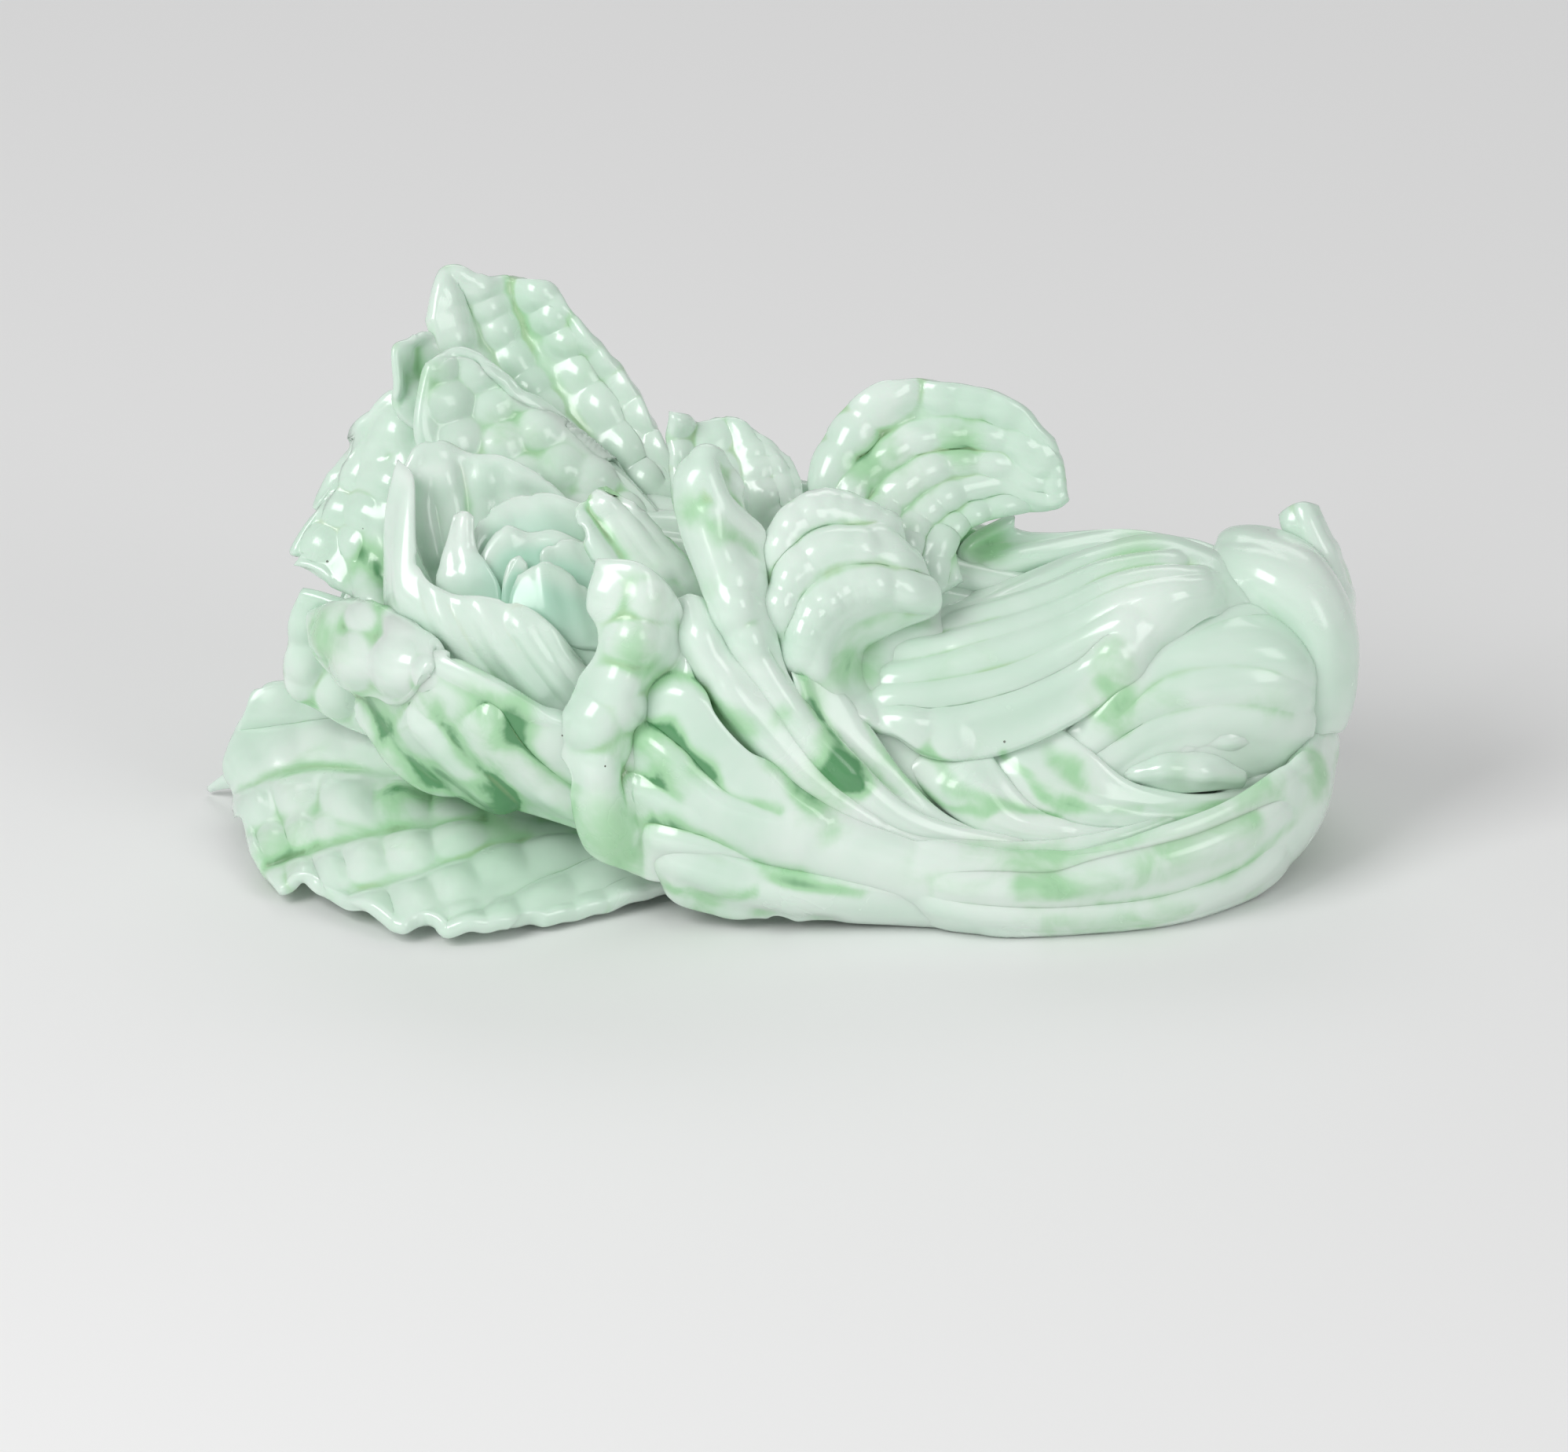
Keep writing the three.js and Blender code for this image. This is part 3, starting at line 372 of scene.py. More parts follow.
WHITE_JADE = linear(0.918, 0.968, 0.933)
MINT_JADE = linear(0.83, 0.925, 0.86)
APPLE_JADE = linear(0.69, 0.87, 0.70)
DEEP_GREEN = linear(0.29, 0.57, 0.35)
TEAL_SHADE = linear(0.67, 0.87, 0.775)
OLD_STAIN = linear(0.80, 0.80, 0.62)
DARK_SPECK = linear(0.25, 0.24, 0.18)
CLOUD_SCALE = 38
WISP_SCALE = 110
GRAIN_SCALE = 900
SPECK_SCALE = 210
SPECK_PATCH_SCALE = 60
POLISH_RANGE = (0.15, 0.28)
WISP_HEIGHT = 0.8
GRAIN_HEIGHT = 0.12


def add_node(tree, kind, place, **settings):
    node = tree.nodes.new(kind)
    node.location = place
    for key, value in settings.items():
        setattr(node, key, value)
    return node


def feed(tree, sockets, values):
    """Links or sets each socket, whichever its value asks for."""
    for socket, value in zip(sockets, values):
        if isinstance(value, bpy.types.NodeSocket):
            tree.links.new(value, socket)
        else:
            socket.default_value = value


def mix_colour(tree, place, factor, first, second):
    node = add_node(tree, "ShaderNodeMix", place, data_type="RGBA")
    feed(tree, (node.inputs[0], node.inputs[6], node.inputs[7]), (factor, first, second))
    return node.outputs[2]


def remap(tree, place, value, low, high, to_low=0.0, to_high=1.0):
    node = add_node(tree, "ShaderNodeMapRange", place, interpolation_type="SMOOTHSTEP")
    names = ("Value", "From Min", "From Max", "To Min", "To Max")
    feed(tree, [node.inputs[name] for name in names], (value, low, high, to_low, to_high))
    return node.outputs["Result"]


def calculate(tree, place, operation, first, second):
    node = add_node(tree, "ShaderNodeMath", place, operation=operation)
    feed(tree, node.inputs, (first, second))
    return node.outputs[0]


def noise(tree, place, vector, scale, detail, distortion=0.0):
    node = add_node(tree, "ShaderNodeTexNoise", place)
    names = ("Vector", "Scale", "Detail", "Distortion")
    feed(tree, [node.inputs[name] for name in names], (vector, scale, detail, distortion))
    return node.outputs["Fac"]


def jade_colour_group():
    group = bpy.data.node_groups.new("jade_colour", "ShaderNodeTree")
    group.interface.new_socket("Place", in_out="INPUT", socket_type="NodeSocketVector")
    for name in ("Green", "Groove", "Painted_shade", "Greenness", "Stain"):
        group.interface.new_socket(name, in_out="INPUT", socket_type="NodeSocketFloat")
    group.interface.new_socket("Colour", in_out="OUTPUT", socket_type="NodeSocketColor")
    for name in ("Roughness", "Height"):
        group.interface.new_socket(name, in_out="OUTPUT", socket_type="NodeSocketFloat")
    source = add_node(group, "NodeGroupInput", (-1400, 0))
    target = add_node(group, "NodeGroupOutput", (900, 0))
    place = source.outputs["Place"]
    clouds = noise(group, (-1200, 500), place, CLOUD_SCALE, 4, 0.6)
    wisps = noise(group, (-1200, 300), place, WISP_SCALE, 4, 0.5)
    grain = noise(group, (-1200, 100), place, GRAIN_SCALE, 3)

    # Milky patches in mint
    milk = remap(group, (-1000, 500), clouds, 0.30, 0.72)
    stone = mix_colour(group, (-800, 500), milk, MINT_JADE, WHITE_JADE)

    # Green clouds, torn up by wisps, and deep green where they are strongest
    cloudy = calculate(group, (-1000, 300), "ADD", source.outputs["Green"],
                       remap(group, (-1200, -100), clouds, 0.50, 0.75, 0, 0.35))
    broken = calculate(group, (-800, 300), "MULTIPLY", cloudy,
                       remap(group, (-1000, 100), wisps, 0.3, 0.7, 0.5, 1.3))
    greener = calculate(group, (-600, 300), "MULTIPLY", broken, source.outputs["Greenness"])
    apple = remap(group, (-400, 300), greener, 0.12, 0.75)
    stone = mix_colour(group, (-200, 400), apple, stone, APPLE_JADE)
    deep = remap(group, (-400, 100), greener, 0.70, 1.25, 0, 0.9)
    stone = mix_colour(group, (0, 400), deep, stone, DEEP_GREEN)

    # Painted shade: a cool teal deep between the leaves, where little light comes
    shade = remap(group, (-400, -100), source.outputs["Painted_shade"], 0.05, 1.0, 0, 0.75)
    stone = mix_colour(group, (200, 400), shade, stone, TEAL_SHADE)

    # Old polish here and there in the narrow grooves
    line = remap(group, (-600, -300), source.outputs["Groove"], 0.35, 0.95)
    patchy = calculate(group, (-400, -300), "MULTIPLY", line,
                       remap(group, (-600, -500), wisps, 0.42, 0.62))
    stained = calculate(group, (-200, -300), "MULTIPLY", patchy, source.outputs["Stain"])
    stone = mix_colour(group, (400, 400), stained, stone, OLD_STAIN)

    # A few dark specks, in patches
    specks = add_node(group, "ShaderNodeTexVoronoi", (-1200, -300))
    specks.inputs["Scale"].default_value = SPECK_SCALE
    group.links.new(place, specks.inputs["Vector"])
    near = remap(group, (-1000, -300), specks.outputs["Distance"], 0.05, 0.035)
    patches = noise(group, (-1200, -500), place, SPECK_PATCH_SCALE, 1)
    chosen = remap(group, (-1000, -500), patches, 0.60, 0.64)
    speck = calculate(group, (-800, -400), "MULTIPLY", near, chosen)
    stone = mix_colour(group, (600, 400), speck, stone, DARK_SPECK)
    group.links.new(stone, target.inputs["Colour"])

    # The polish and the fine unevenness under it
    polish = remap(group, (400, 0), wisps, 0.3, 0.7, *POLISH_RANGE)
    group.links.new(polish, target.inputs["Roughness"])
    wispy = calculate(group, (200, -200), "MULTIPLY", wisps, WISP_HEIGHT)
    grainy = calculate(group, (200, -400), "MULTIPLY", grain, GRAIN_HEIGHT)
    height = calculate(group, (400, -200), "ADD", wispy, grainy)
    group.links.new(height, target.inputs["Height"])
    return group


JADE_COLOUR = jade_colour_group()
print("the jade colour group has", len(JADE_COLOUR.nodes), "nodes")

# %% The three slots of jade
BUMP_STRENGTH = 0.35
BUMP_DEPTH = 0.12 * MM
OLD_POLISH = 0.2
# Light that goes a little way into the stone, and a thin glassy polish over it
STONE_VALUES = {
    "Subsurface Weight": 0.3,
    "Subsurface Radius": (0.75, 1.0, 0.85),
    "Subsurface Scale": 2.0 * MM,
    "IOR": 1.6,
    "Coat Weight": 0.3,
    "Coat Roughness": 0.06,
}


def jade_material(name, greenness):
    material = bpy.data.materials.new(name)
    material.use_nodes = True
    tree = material.node_tree
    shader = tree.nodes["Principled BSDF"]
    place = add_node(tree, "ShaderNodeTexCoord", (-900, 0))
    group = add_node(tree, "ShaderNodeGroup", (-400, 0), node_tree=JADE_COLOUR)
    tree.links.new(place.outputs["Object"], group.inputs["Place"])
    for row, key in enumerate(("Green", "Groove", "Painted_shade")):
        attribute = add_node(tree, "ShaderNodeAttribute", (-900, -250 - 180 * row))
        attribute.attribute_name = key.lower()
        tree.links.new(attribute.outputs["Fac"], group.inputs[key])
    group.inputs["Greenness"].default_value = greenness
    group.inputs["Stain"].default_value = OLD_POLISH
    bump = add_node(tree, "ShaderNodeBump", (-200, -300))
    bump.inputs["Strength"].default_value = BUMP_STRENGTH
    bump.inputs["Distance"].default_value = BUMP_DEPTH
    tree.links.new(group.outputs["Height"], bump.inputs["Height"])
    tree.links.new(group.outputs["Colour"], shader.inputs["Base Color"])
    tree.links.new(group.outputs["Roughness"], shader.inputs["Roughness"])
    tree.links.new(bump.outputs["Normal"], shader.inputs["Normal"])
    for key, value in STONE_VALUES.items():
        shader.inputs[key].default_value = value
    return material


JADES = {
    "pale_jade": jade_material("pale_jade_polished", 0.85),
    "mint_jade": jade_material("mint_jade_polished", 1.0),
    "green_jade": jade_material("green_jade_polished", 1.15),
}
print("jade slots:", ", ".join(JADES))

# %% [markdown]
# ## Green in the stone, and painted shade in its valleys
# Apple-green clouds drift through the white stone. A darker green runs along some of the valleys
# and over the turned-down side of the front left leaf, partly the stone's own green and partly
# painted shade. A noise pattern alone would put them anywhere, so the clouds and lines were read
# off the picture, with their edges made uneven by the slow wander. Each vertex then stores how
# green it is.

# %% Clouds, and green and painted shade in the valleys
# Each cloud: across and down in the picture, its radius, all in pixels, and its strength. The
# strong clouds in the gaps between the front stalks are partly painted shade.
CLOUD_PIXELS = [
    (520, 480, 34, 0.25), (640, 525, 46, 0.51), (700, 590, 42, 0.42), (480, 720, 40, 0.77),
    (500, 1025, 30, 0.8), (560, 1030, 40, 0.42), (350, 1090, 42, 0.42), (660, 922, 30, 0.9),
    (610, 905, 50, 0.3), (780, 1060, 50, 0.5), (815, 835, 30, 0.5), (800, 960, 40, 0.35),
    (990, 925, 22, 0.7), (1090, 990, 26, 0.6), (1050, 1030, 34, 0.45), (1110, 590, 34, 0.75),
    (1225, 558, 34, 0.7), (1160, 640, 40, 0.35), (1250, 690, 46, 0.68), (1440, 690, 60, 0.45),
    (1080, 840, 40, 0.68), (1425, 900, 30, 0.7), (1480, 880, 30, 0.3), (1600, 880, 34, 0.45),
    (1350, 975, 30, 0.5), (1090, 850, 30, 0.4), (1190, 860, 30, 0.35), (1650, 1000, 40, 0.4),
    (900, 1155, 50, 0.45), (880, 640, 30, 0.35), (886, 666, 20, 0.45), (916, 694, 22, 0.5),
    (640, 1045, 46, 0.6), (1240, 830, 46, 0.3), (1395, 840, 46, 0.4), (1500, 985, 34, 0.35),
    (740, 460, 46, 0.34), (425, 812, 34, 0.5), (570, 470, 30, 0.3), (690, 430, 34, 0.3),
    (850, 942, 22, 0.9), (895, 985, 22, 0.8), (840, 995, 20, 0.7), (865, 1055, 24, 0.4),
    (490, 930, 24, 0.6), (560, 975, 24, 0.5), (900, 760, 26, 0.5), (600, 640, 26, 0.3),
]
# Each dark green line along a valley between stalks and on the turned-down front leaf, partly the
# stone's green and partly painted shade: its places, its width and how green it is
GREEN_AND_SHADE_LINES = [
    ([(836, 876), (859, 871), (890, 883), (938, 926), (975, 975), (1006, 1009), (1045, 1032)],
     12, 0.9),
    ([(1023, 905), (1042, 947), (1070, 985), (1105, 1012)], 9, 0.55),
    ([(1013, 860), (1018, 890), (1030, 925)], 8, 0.5),
    ([(1036, 950), (1060, 982), (1092, 1000)], 14, 0.35),
    ([(838, 932), (871, 960), (896, 987), (932, 1015), (985, 1036)], 11, 0.7),
    ([(806, 988), (847, 1000), (871, 1018)], 10, 0.5),
    ([(836, 1045), (871, 1052), (914, 1067), (960, 1088), (1006, 1107), (1080, 1125)], 11, 0.45),
    ([(1095, 930), (1130, 975), (1190, 1020), (1250, 1040)], 9, 0.5),
    ([(1180, 960), (1225, 1012), (1290, 1040), (1350, 1046)], 9, 0.5),
    ([(1278, 962), (1320, 1008), (1390, 1038), (1450, 1042)], 9, 0.6),
    ([(465, 700), (478, 740), (490, 785)], 14, 0.6),
    ([(480, 895), (520, 945), (570, 990), (640, 1015)], 15, 0.35),
    ([(540, 898), (600, 955), (660, 1010)], 11, 0.5),
    ([(628, 893), (660, 940), (700, 980), (730, 1000)], 12, 0.65),
    ([(500, 935), (560, 985), (650, 1018), (728, 1035)], 14, 0.3),
    ([(1100, 812), (1140, 800), (1185, 795)], 10, 0.4),
    ([(865, 1123), (914, 1129), (960, 1123)], 10, 0.5),
    ([(1220, 1085), (1330, 1092), (1420, 1078), (1500, 1052), (1600, 1005)], 11, 0.45),
    ([(1290, 1120), (1390, 1115), (1480, 1092), (1570, 1052)], 12, 0.5),
    ([(1400, 1140), (1480, 1128), (1560, 1095), (1620, 1050)], 12, 0.45),
    ([(1330, 1172), (1420, 1162), (1500, 1146)], 9, 0.3),
]
HIDDEN_FROM = 6 * MM
HIDDEN_AT = 14 * MM
HIDDEN_SHARE = 0.5
SLOPE_OF_VIEW = 0.45
WANDER_STEP = 5 * MM
WANDER_PIXELS = 14
WANDER_SEEDS = (31, 32)
MOST_GREEN = 1.5


def green_and_shade_of(points):
    """How green the stone is at the given points, with painted shade along the valley lines.

    What lies far behind the side that the picture shows is paler, and has none of the lines.
    """
    across, down = picture_place(points)
    x, y, z = np.moveaxis(points / WANDER_STEP, -1, 0)
    depth = points[..., 1] - SLOPE_OF_VIEW * points[..., 2]
    in_view = 1 - smoothstep(HIDDEN_FROM, HIDDEN_AT, depth)
    across = across + WANDER_PIXELS * wander(x, z, WANDER_SEEDS[0])
    down = down + WANDER_PIXELS * wander(y, z, WANDER_SEEDS[1])
    green = 0
    for cloud_across, cloud_down, radius, strength in CLOUD_PIXELS:
        distance = np.hypot(across - cloud_across, down - cloud_down) / radius
        share = HIDDEN_SHARE + (1 - HIDDEN_SHARE) * in_view
        green = green + strength * share * np.exp(-distance ** 2)
    for line, width, strength in GREEN_AND_SHADE_LINES:
        distance, _, _ = near_line(across, down, line)
        green = green + strength * in_view * np.exp(-(distance / width) ** 2)
    return np.clip(green, 0, MOST_GREEN)


print(len(CLOUD_PIXELS), "green clouds and", len(GREEN_AND_SHADE_LINES), "green valleys")

# %% [markdown]
# ## Carving one leaf
# Every leaf starts as a flat grid. Its vertices are moved onto the leaf's surface, its rim is cut
# into lobes and ruffled, and the relief pushes them out or in. A Solidify modifier then gives it
# the thickness of the stone. Sculpting by hand would be closer to the carver's work, but a lesson
# couldn't repeat it. A vertex group thins the sheet towards its rim, because a carved rim is
# rounded and thin.

# %% Small helpers for a mesh
TINY = 1e-12


def select_only(piece):
    bpy.ops.object.select_all(action="DESELECT")
    piece.select_set(True)
    bpy.context.view_layer.objects.active = piece


def apply_modifier(piece, kind, **settings):
    select_only(piece)
    modifier = piece.modifiers.new(kind.lower(), kind)
    for key, value in settings.items():
        setattr(modifier, key, value)
    bpy.ops.object.modifier_apply(modifier=modifier.name)


def vertex_places(piece):
    places = np.empty(len(piece.data.vertices) * 3)
    piece.data.vertices.foreach_get("co", places)
    return places.reshape(-1, 3)


def store_on_vertices(piece, values):
    """Stores named values on a piece's vertices, where its material reads them."""
    for key, value in values.items():
        attribute = piece.data.attributes.new(key, "FLOAT", "POINT")
        attribute.data.foreach_set("value", np.asarray(value, np.float32).reshape(-1))


def normals_of(places, side):
    """Normals of a grid of places, by the slopes between neighbours, turned to the given side."""
    normals = np.cross(np.gradient(places, axis=1), np.gradient(places, axis=0))
    normals = normals / (np.linalg.norm(normals, axis=-1, keepdims=True) + TINY)
    return -normals if normals.mean(axis=(0, 1)) @ side < 0 else normals


def smoothed(grid, times):
    """A grid of values with every value replaced by its neighbours' mean, so many times."""
    for _ in range(times):
        padded = np.pad(grid, 1, mode="edge")
        grid = (padded[:-2, 1:-1] + padded[2:, 1:-1] + padded[1:-1, :-2] + padded[1:-1, 2:]) / 4
    return grid


print("next to a bump of 1, smoothed once:", smoothed(np.diag([0.0, 1.0, 0.0]), 1)[0].round(2))

# %% [markdown]
# ## Rims
# A leaf's rim has lobes with cuts between them, torn bites, and soft waves up and down. Bites could
# be cut out with a Boolean, but that leaves thin ragged triangles along the rim. Here the grid is
# pulled in round each cut instead, so the rim stays one clean row of vertices. The bites were read
# off the picture: across, down and a radius, in its pixels.

# %% Bites out of a rim
BITE_REACH = 1.8
BITE_FACING = (0.15, 0.4)
MOST_SLIDE = 2.6
LEAST_TURN = 1
TINY_PIXEL = 1e-6


def bite_rim(places, bites):
    """Slides a sheet's points away from the middle of each bite, so that its rim goes round it.

    A point slides within the sheet, and less where the sheet is seen edge on.
    """
    for middle_across, middle_down, radius in bites:
        across, down = picture_place(places)
        far_across, far_down = across - middle_across, down - middle_down
        distance = np.hypot(far_across, far_down) + TINY_PIXEL
        reach = BITE_REACH * radius
        push = np.where(distance < reach, radius * (1 - distance / reach), 0)
        side, way = np.gradient(places, axis=1), np.gradient(places, axis=0)
        side_across, side_down = np.gradient(across, axis=1), np.gradient(down, axis=1)
        way_across, way_down = np.gradient(across, axis=0), np.gradient(down, axis=0)
        turned = side_across * way_down - side_down * way_across
        full = np.linalg.norm(side, axis=-1) * np.linalg.norm(way, axis=-1) / ACROSS_SCALE ** 2
        push = push * smoothstep(*BITE_FACING, np.abs(turned) / full)
        turned = np.where(np.abs(turned) < LEAST_TURN, np.copysign(LEAST_TURN, turned), turned)
        push_across, push_down = push * far_across / distance, push * far_down / distance
        steps_side = (push_across * way_down - push_down * way_across) / turned
        steps_way = (side_across * push_down - side_down * push_across) / turned
        shift = side * steps_side[..., None] + way * steps_way[..., None]
        length = np.linalg.norm(shift, axis=-1) + TINY
        shift = shift * np.minimum(1, MOST_SLIDE * push * ACROSS_SCALE / length)[..., None]
        places = places + shift
    return places


# %% Lobes and ruffles
# Lobes on the left and right side and at the tip, how deep a notch goes between two and how far the
# tip is rounded, as shares of the leaf, the ruffle's height in millimetres and its waves, and where
# along the leaf all of it begins
PLAIN_RIM = dict(lobes=(0, 0), tip_lobes=0, notch=0.0, tip_round=0.012, ruffle=0.0, waves=6,
                 start=0.3, seed=5)
RIM_FADE = 0.15
LOBE_POWER = 0.7
LOBE_WANDER = 0.4
TIP_WANDER = 0.3


def notches(place):
    """A row of narrow notches between round lobes, one to a unit, from 0 to 1."""
    return 1 - np.abs(np.sin(math.pi * place)) ** LOBE_POWER


def cut_rim(across, along, rim):
    """Pulls a grid's rim in between its lobes. The lobes are evenly laid out, with some wander."""
    edge = np.abs(2 * across - 1)
    left = across < 0.5
    fade_in = smoothstep(rim["start"], rim["start"] + RIM_FADE, along)
    lobes = np.where(left, rim["lobes"][0], rim["lobes"][1])
    place_wander = wander(along * 6 + 7 * left, along * 0 + 2, rim["seed"])
    place = along * lobes + LOBE_WANDER * place_wander
    bite = np.where(lobes > 0, notches(place), 0)
    tip_place = rim["tip_lobes"] * across + 0.5
    tip_place = tip_place + TIP_WANDER * wander(across * 4, across * 0, rim["seed"] + 1)
    tip_bite = notches(tip_place) * (rim["tip_lobes"] > 0)
    side_cut = rim["notch"] * bite * fade_in * edge ** 4
    tip_cut = (rim["tip_round"] * edge ** 3 + rim["notch"] * tip_bite) * along ** 6
    return 0.5 + (across - 0.5) * (1 - side_cut), along * (1 - tip_cut)


def ruffle_of(across, along, rim):
    """Soft waves of a rim, in millimetres."""
    edge = np.abs(2 * across - 1)
    fade_in = smoothstep(rim["start"], rim["start"] + RIM_FADE, along)
    left = across < 0.5
    side_wave = wander(along * rim["waves"] * 1.6 + 31 * left, along * 0, rim["seed"] + 2)
    tip_wave = wander(across * 7, across * 0, rim["seed"] + 3)
    return rim["ruffle"] * (side_wave * fade_in * edge ** 3 + tip_wave * along ** 8)


# %% [markdown]
# ## From a grid to a leaf
# The grid is about as fine as the smallest folds. Its sides are crowded a little, where the rim
# curves most. Relief that was read off the picture only counts where the sheet faces the picture,
# and turns into its opposite on a sheet that faces away, so a fold stays a fold. The depth of the
# grooves and the green are stored while the grid is still a grid, where a mean over neighbours is
# easily taken.

# %% Grid, thickness and values of a leaf
GRID_STEP = 0.5 * MM
LEAST_STEPS = 16
SIDE_CROWDING = 0.4
RIM_ROUNDING = 1.4 * MM
RIM_LEFT = 0.32
# How deep a narrow and a wide groove are, in millimetres under the mean of so many passes
NARROW_GROOVE, NARROW_PASSES = 0.25, 8
WIDE_GROOVE, WIDE_PASSES = 0.55, 40
# How much greener the wide grooves are: partly the stone's green, partly painted shade
VALLEY_GREEN_AND_SHADE = 0.6
WHITE_BAND = (0.55, 0.95)
# Painted shade round the heart of the head: its middle in pixels, its reach and its strength
HEART_PIXELS = (690, 760, 230)
HEART_REACH = (11 * MM, 11 * MM, 14 * MM)
HEART_SHADE = 0.6


def sheet_grid(name, arcs, length):
    """A flat grid for a leaf of the given size, and its vertices' places across and along it."""
    across_steps = max(LEAST_STEPS, int(round(arcs.max() / GRID_STEP)))
    along_steps = max(LEAST_STEPS, int(round(length / GRID_STEP)))
    bpy.ops.mesh.primitive_grid_add(
        x_subdivisions=across_steps, y_subdivisions=along_steps, size=1, location=(0, 0, 0))
    piece = bpy.context.object
    piece.name = piece.data.name = name
    flat = vertex_places(piece).reshape(along_steps + 1, across_steps + 1, 3)
    across, along = flat[..., 0] + 0.5, flat[..., 1] + 0.5
    crowded = 0.5 - 0.5 * np.cos(math.pi * across)
    return piece, (1 - SIDE_CROWDING) * across + SIDE_CROWDING * crowded, along


def rim_distance(across, along, arcs, length):
    """How far each vertex is from the nearest rim, in metres."""
    across_arc = np.interp(along[:, :1], np.linspace(0, 1, len(arcs)), arcs)
    to_side = (0.5 - np.abs(across - 0.5)) * across_arc
    to_end = np.minimum(along, 1 - along) * length
    return np.minimum(to_side, to_end)


def thickness_shares(to_rim, along, thickness):
    """How thick the sheet is, as a share of its thickest place."""
    fullness = np.sqrt(1 - (1 - np.clip(to_rim / RIM_ROUNDING, 0, 1)) ** 2)
    thinning = thickness[0] + (thickness[1] - thickness[0]) * along
    return (RIM_LEFT + (1 - RIM_LEFT) * fullness) * thinning / max(thickness)


def painted_shade_of(points):
    """Painted teal shade, strongest deep in the heart of the head, where little light comes."""
    heart = seen([HEART_PIXELS])[0]
    distance = np.linalg.norm((points - heart) / HEART_REACH, axis=-1)
    return HEART_SHADE * np.exp(-distance ** 2)


def values_of(places, along, height, facing, white_rim_and_shade):
    """What the jade reads on every vertex: how green it is with painted shade in valleys, how deep
    its groove, and how much painted teal shade.
    """
    narrow = facing * (smoothed(height, NARROW_PASSES) - height) / NARROW_GROOVE
    wide = facing * (smoothed(height, WIDE_PASSES) - height) / WIDE_GROOVE
    rim_white = white_rim_and_shade * smoothstep(*WHITE_BAND, along)
    return {
        "green": (green_and_shade_of(places) + VALLEY_GREEN_AND_SHADE * np.clip(wide, 0, 1)) * (1 - rim_white),
        "groove": np.clip(narrow, 0, 1),
        # Painted teal shade, weaker at a petal's white rim and stronger below it
        "painted_shade": painted_shade_of(places) * (1 + white_rim_and_shade - 2 * rim_white).clip(0),
    }


# %% One carved sheet
SMOOTH_BAND = 3.0 * MM
FACING_GAIN, FACING_PASSES = 5, 4
HEIGHT_PASSES = 3
VIEW_SIDE = np.array([0, -math.cos(VIEW_TILT), math.sin(VIEW_TILT)])
BACK_SIDE = np.array([0, 0.9, 0.4])
SLOT_OF_NODE = {part["node"]: part["material_slot"] for part in frame["record"]["subparts"]}


def finish_piece(piece, node):
    """Shades a piece smooth, gives it its node's jade, hangs it under the root and hides the node.
    """
    select_only(piece)
    bpy.ops.object.shade_smooth()
    slot = SLOT_OF_NODE[node]
    piece.data.materials.clear()
    piece.data.materials.append(JADES[slot])
    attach(piece, "root")
    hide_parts(node)
    print(piece.name, "has", len(piece.data.polygons), "faces")


def carved_sheet(node, sections, thickness, rises=None, features=(), bites=(), rim=None,
                 side=VIEW_SIDE, white_rim_and_shade=0.0, ending=""):
    """A carved leaf that stands for a node.

    Its relief is laid out by rises(across, along) and by features of the picture. The ending comes
    after the name of a node's second piece.
    """
    _, length = even_steps(sections, 0.5)
    arcs = np.linalg.norm(np.diff(sections, axis=1), axis=2).sum(axis=1)
    piece, across, along = sheet_grid("carved_" + node + ending, arcs, length)
    to_rim = rim_distance(across, along, arcs, length)
    rim = {**PLAIN_RIM, **(rim or {})}
    cut_across, cut_along = cut_rim(across, along, rim)
    cut_along, _ = even_steps(sections, cut_along)
    places = bite_rim(surface(sections, cut_across, cut_along), bites)
    normals = normals_of(places, side)
    facing = smoothed(np.clip(FACING_GAIN * (normals @ VIEW_SIDE), -1, 1), FACING_PASSES)

    height = ruffle_of(across, along, rim)
    if rises:
        height = height + rises(across, along) * smoothstep(0, SMOOTH_BAND, to_rim)
    picture_across, picture_down = picture_place(places)
    for feature in features:
        height = height + facing * feature(picture_across, picture_down)
    height = smoothed(height, HEIGHT_PASSES)
    places = places + normals * (height * MM)[..., None]

    weight = thickness_shares(to_rim, along, thickness)
    places[..., 2] = np.maximum(places[..., 2], weight * max(thickness) / 2)
    piece.data.vertices.foreach_set("co", places.reshape(-1))
    group = piece.vertex_groups.new(name="thickness")
    for index, value in enumerate(weight.reshape(-1)):
        group.add([index], float(value), "REPLACE")
    store_on_vertices(piece, values_of(places, along, height, facing, white_rim_and_shade))
    apply_modifier(piece, "SOLIDIFY", thickness=max(thickness), offset=0.0,
                   vertex_group="thickness", use_even_offset=False)
    finish_piece(piece, node)


# %% [markdown]
# ## The solid stone inside
# The head and the stems are solid stone under the leaves. It shows only in the gaps between them,
# as a smooth ridged body. A sphere is the easiest closed start: its turn goes round the body, and
# its way from pole to pole goes along it.

# %% The core
# Each ring: the place of its middle, its half depth and its half height, as shares of the size
CORE_RING_SHARES = [
    [0.15, 0.62, 0.2, 0.04, 0.05],
    [0.19, 0.64, 0.24, 0.14, 0.19],
    [0.25, 0.63, 0.28, 0.2, 0.28],
    [0.33, 0.61, 0.29, 0.25, 0.32],
    [0.43, 0.57, 0.28, 0.3, 0.34],
    [0.54, 0.53, 0.25, 0.33, 0.32],
    [0.66, 0.53, 0.23, 0.33, 0.28],
    [0.78, 0.54, 0.21, 0.31, 0.25],
    [0.88, 0.55, 0.22, 0.22, 0.22],
    [0.94, 0.56, 0.23, 0.13, 0.16],
    [0.97, 0.56, 0.24, 0.05, 0.08],
]
CORE_TURNS = 160
CORE_RINGS = 220
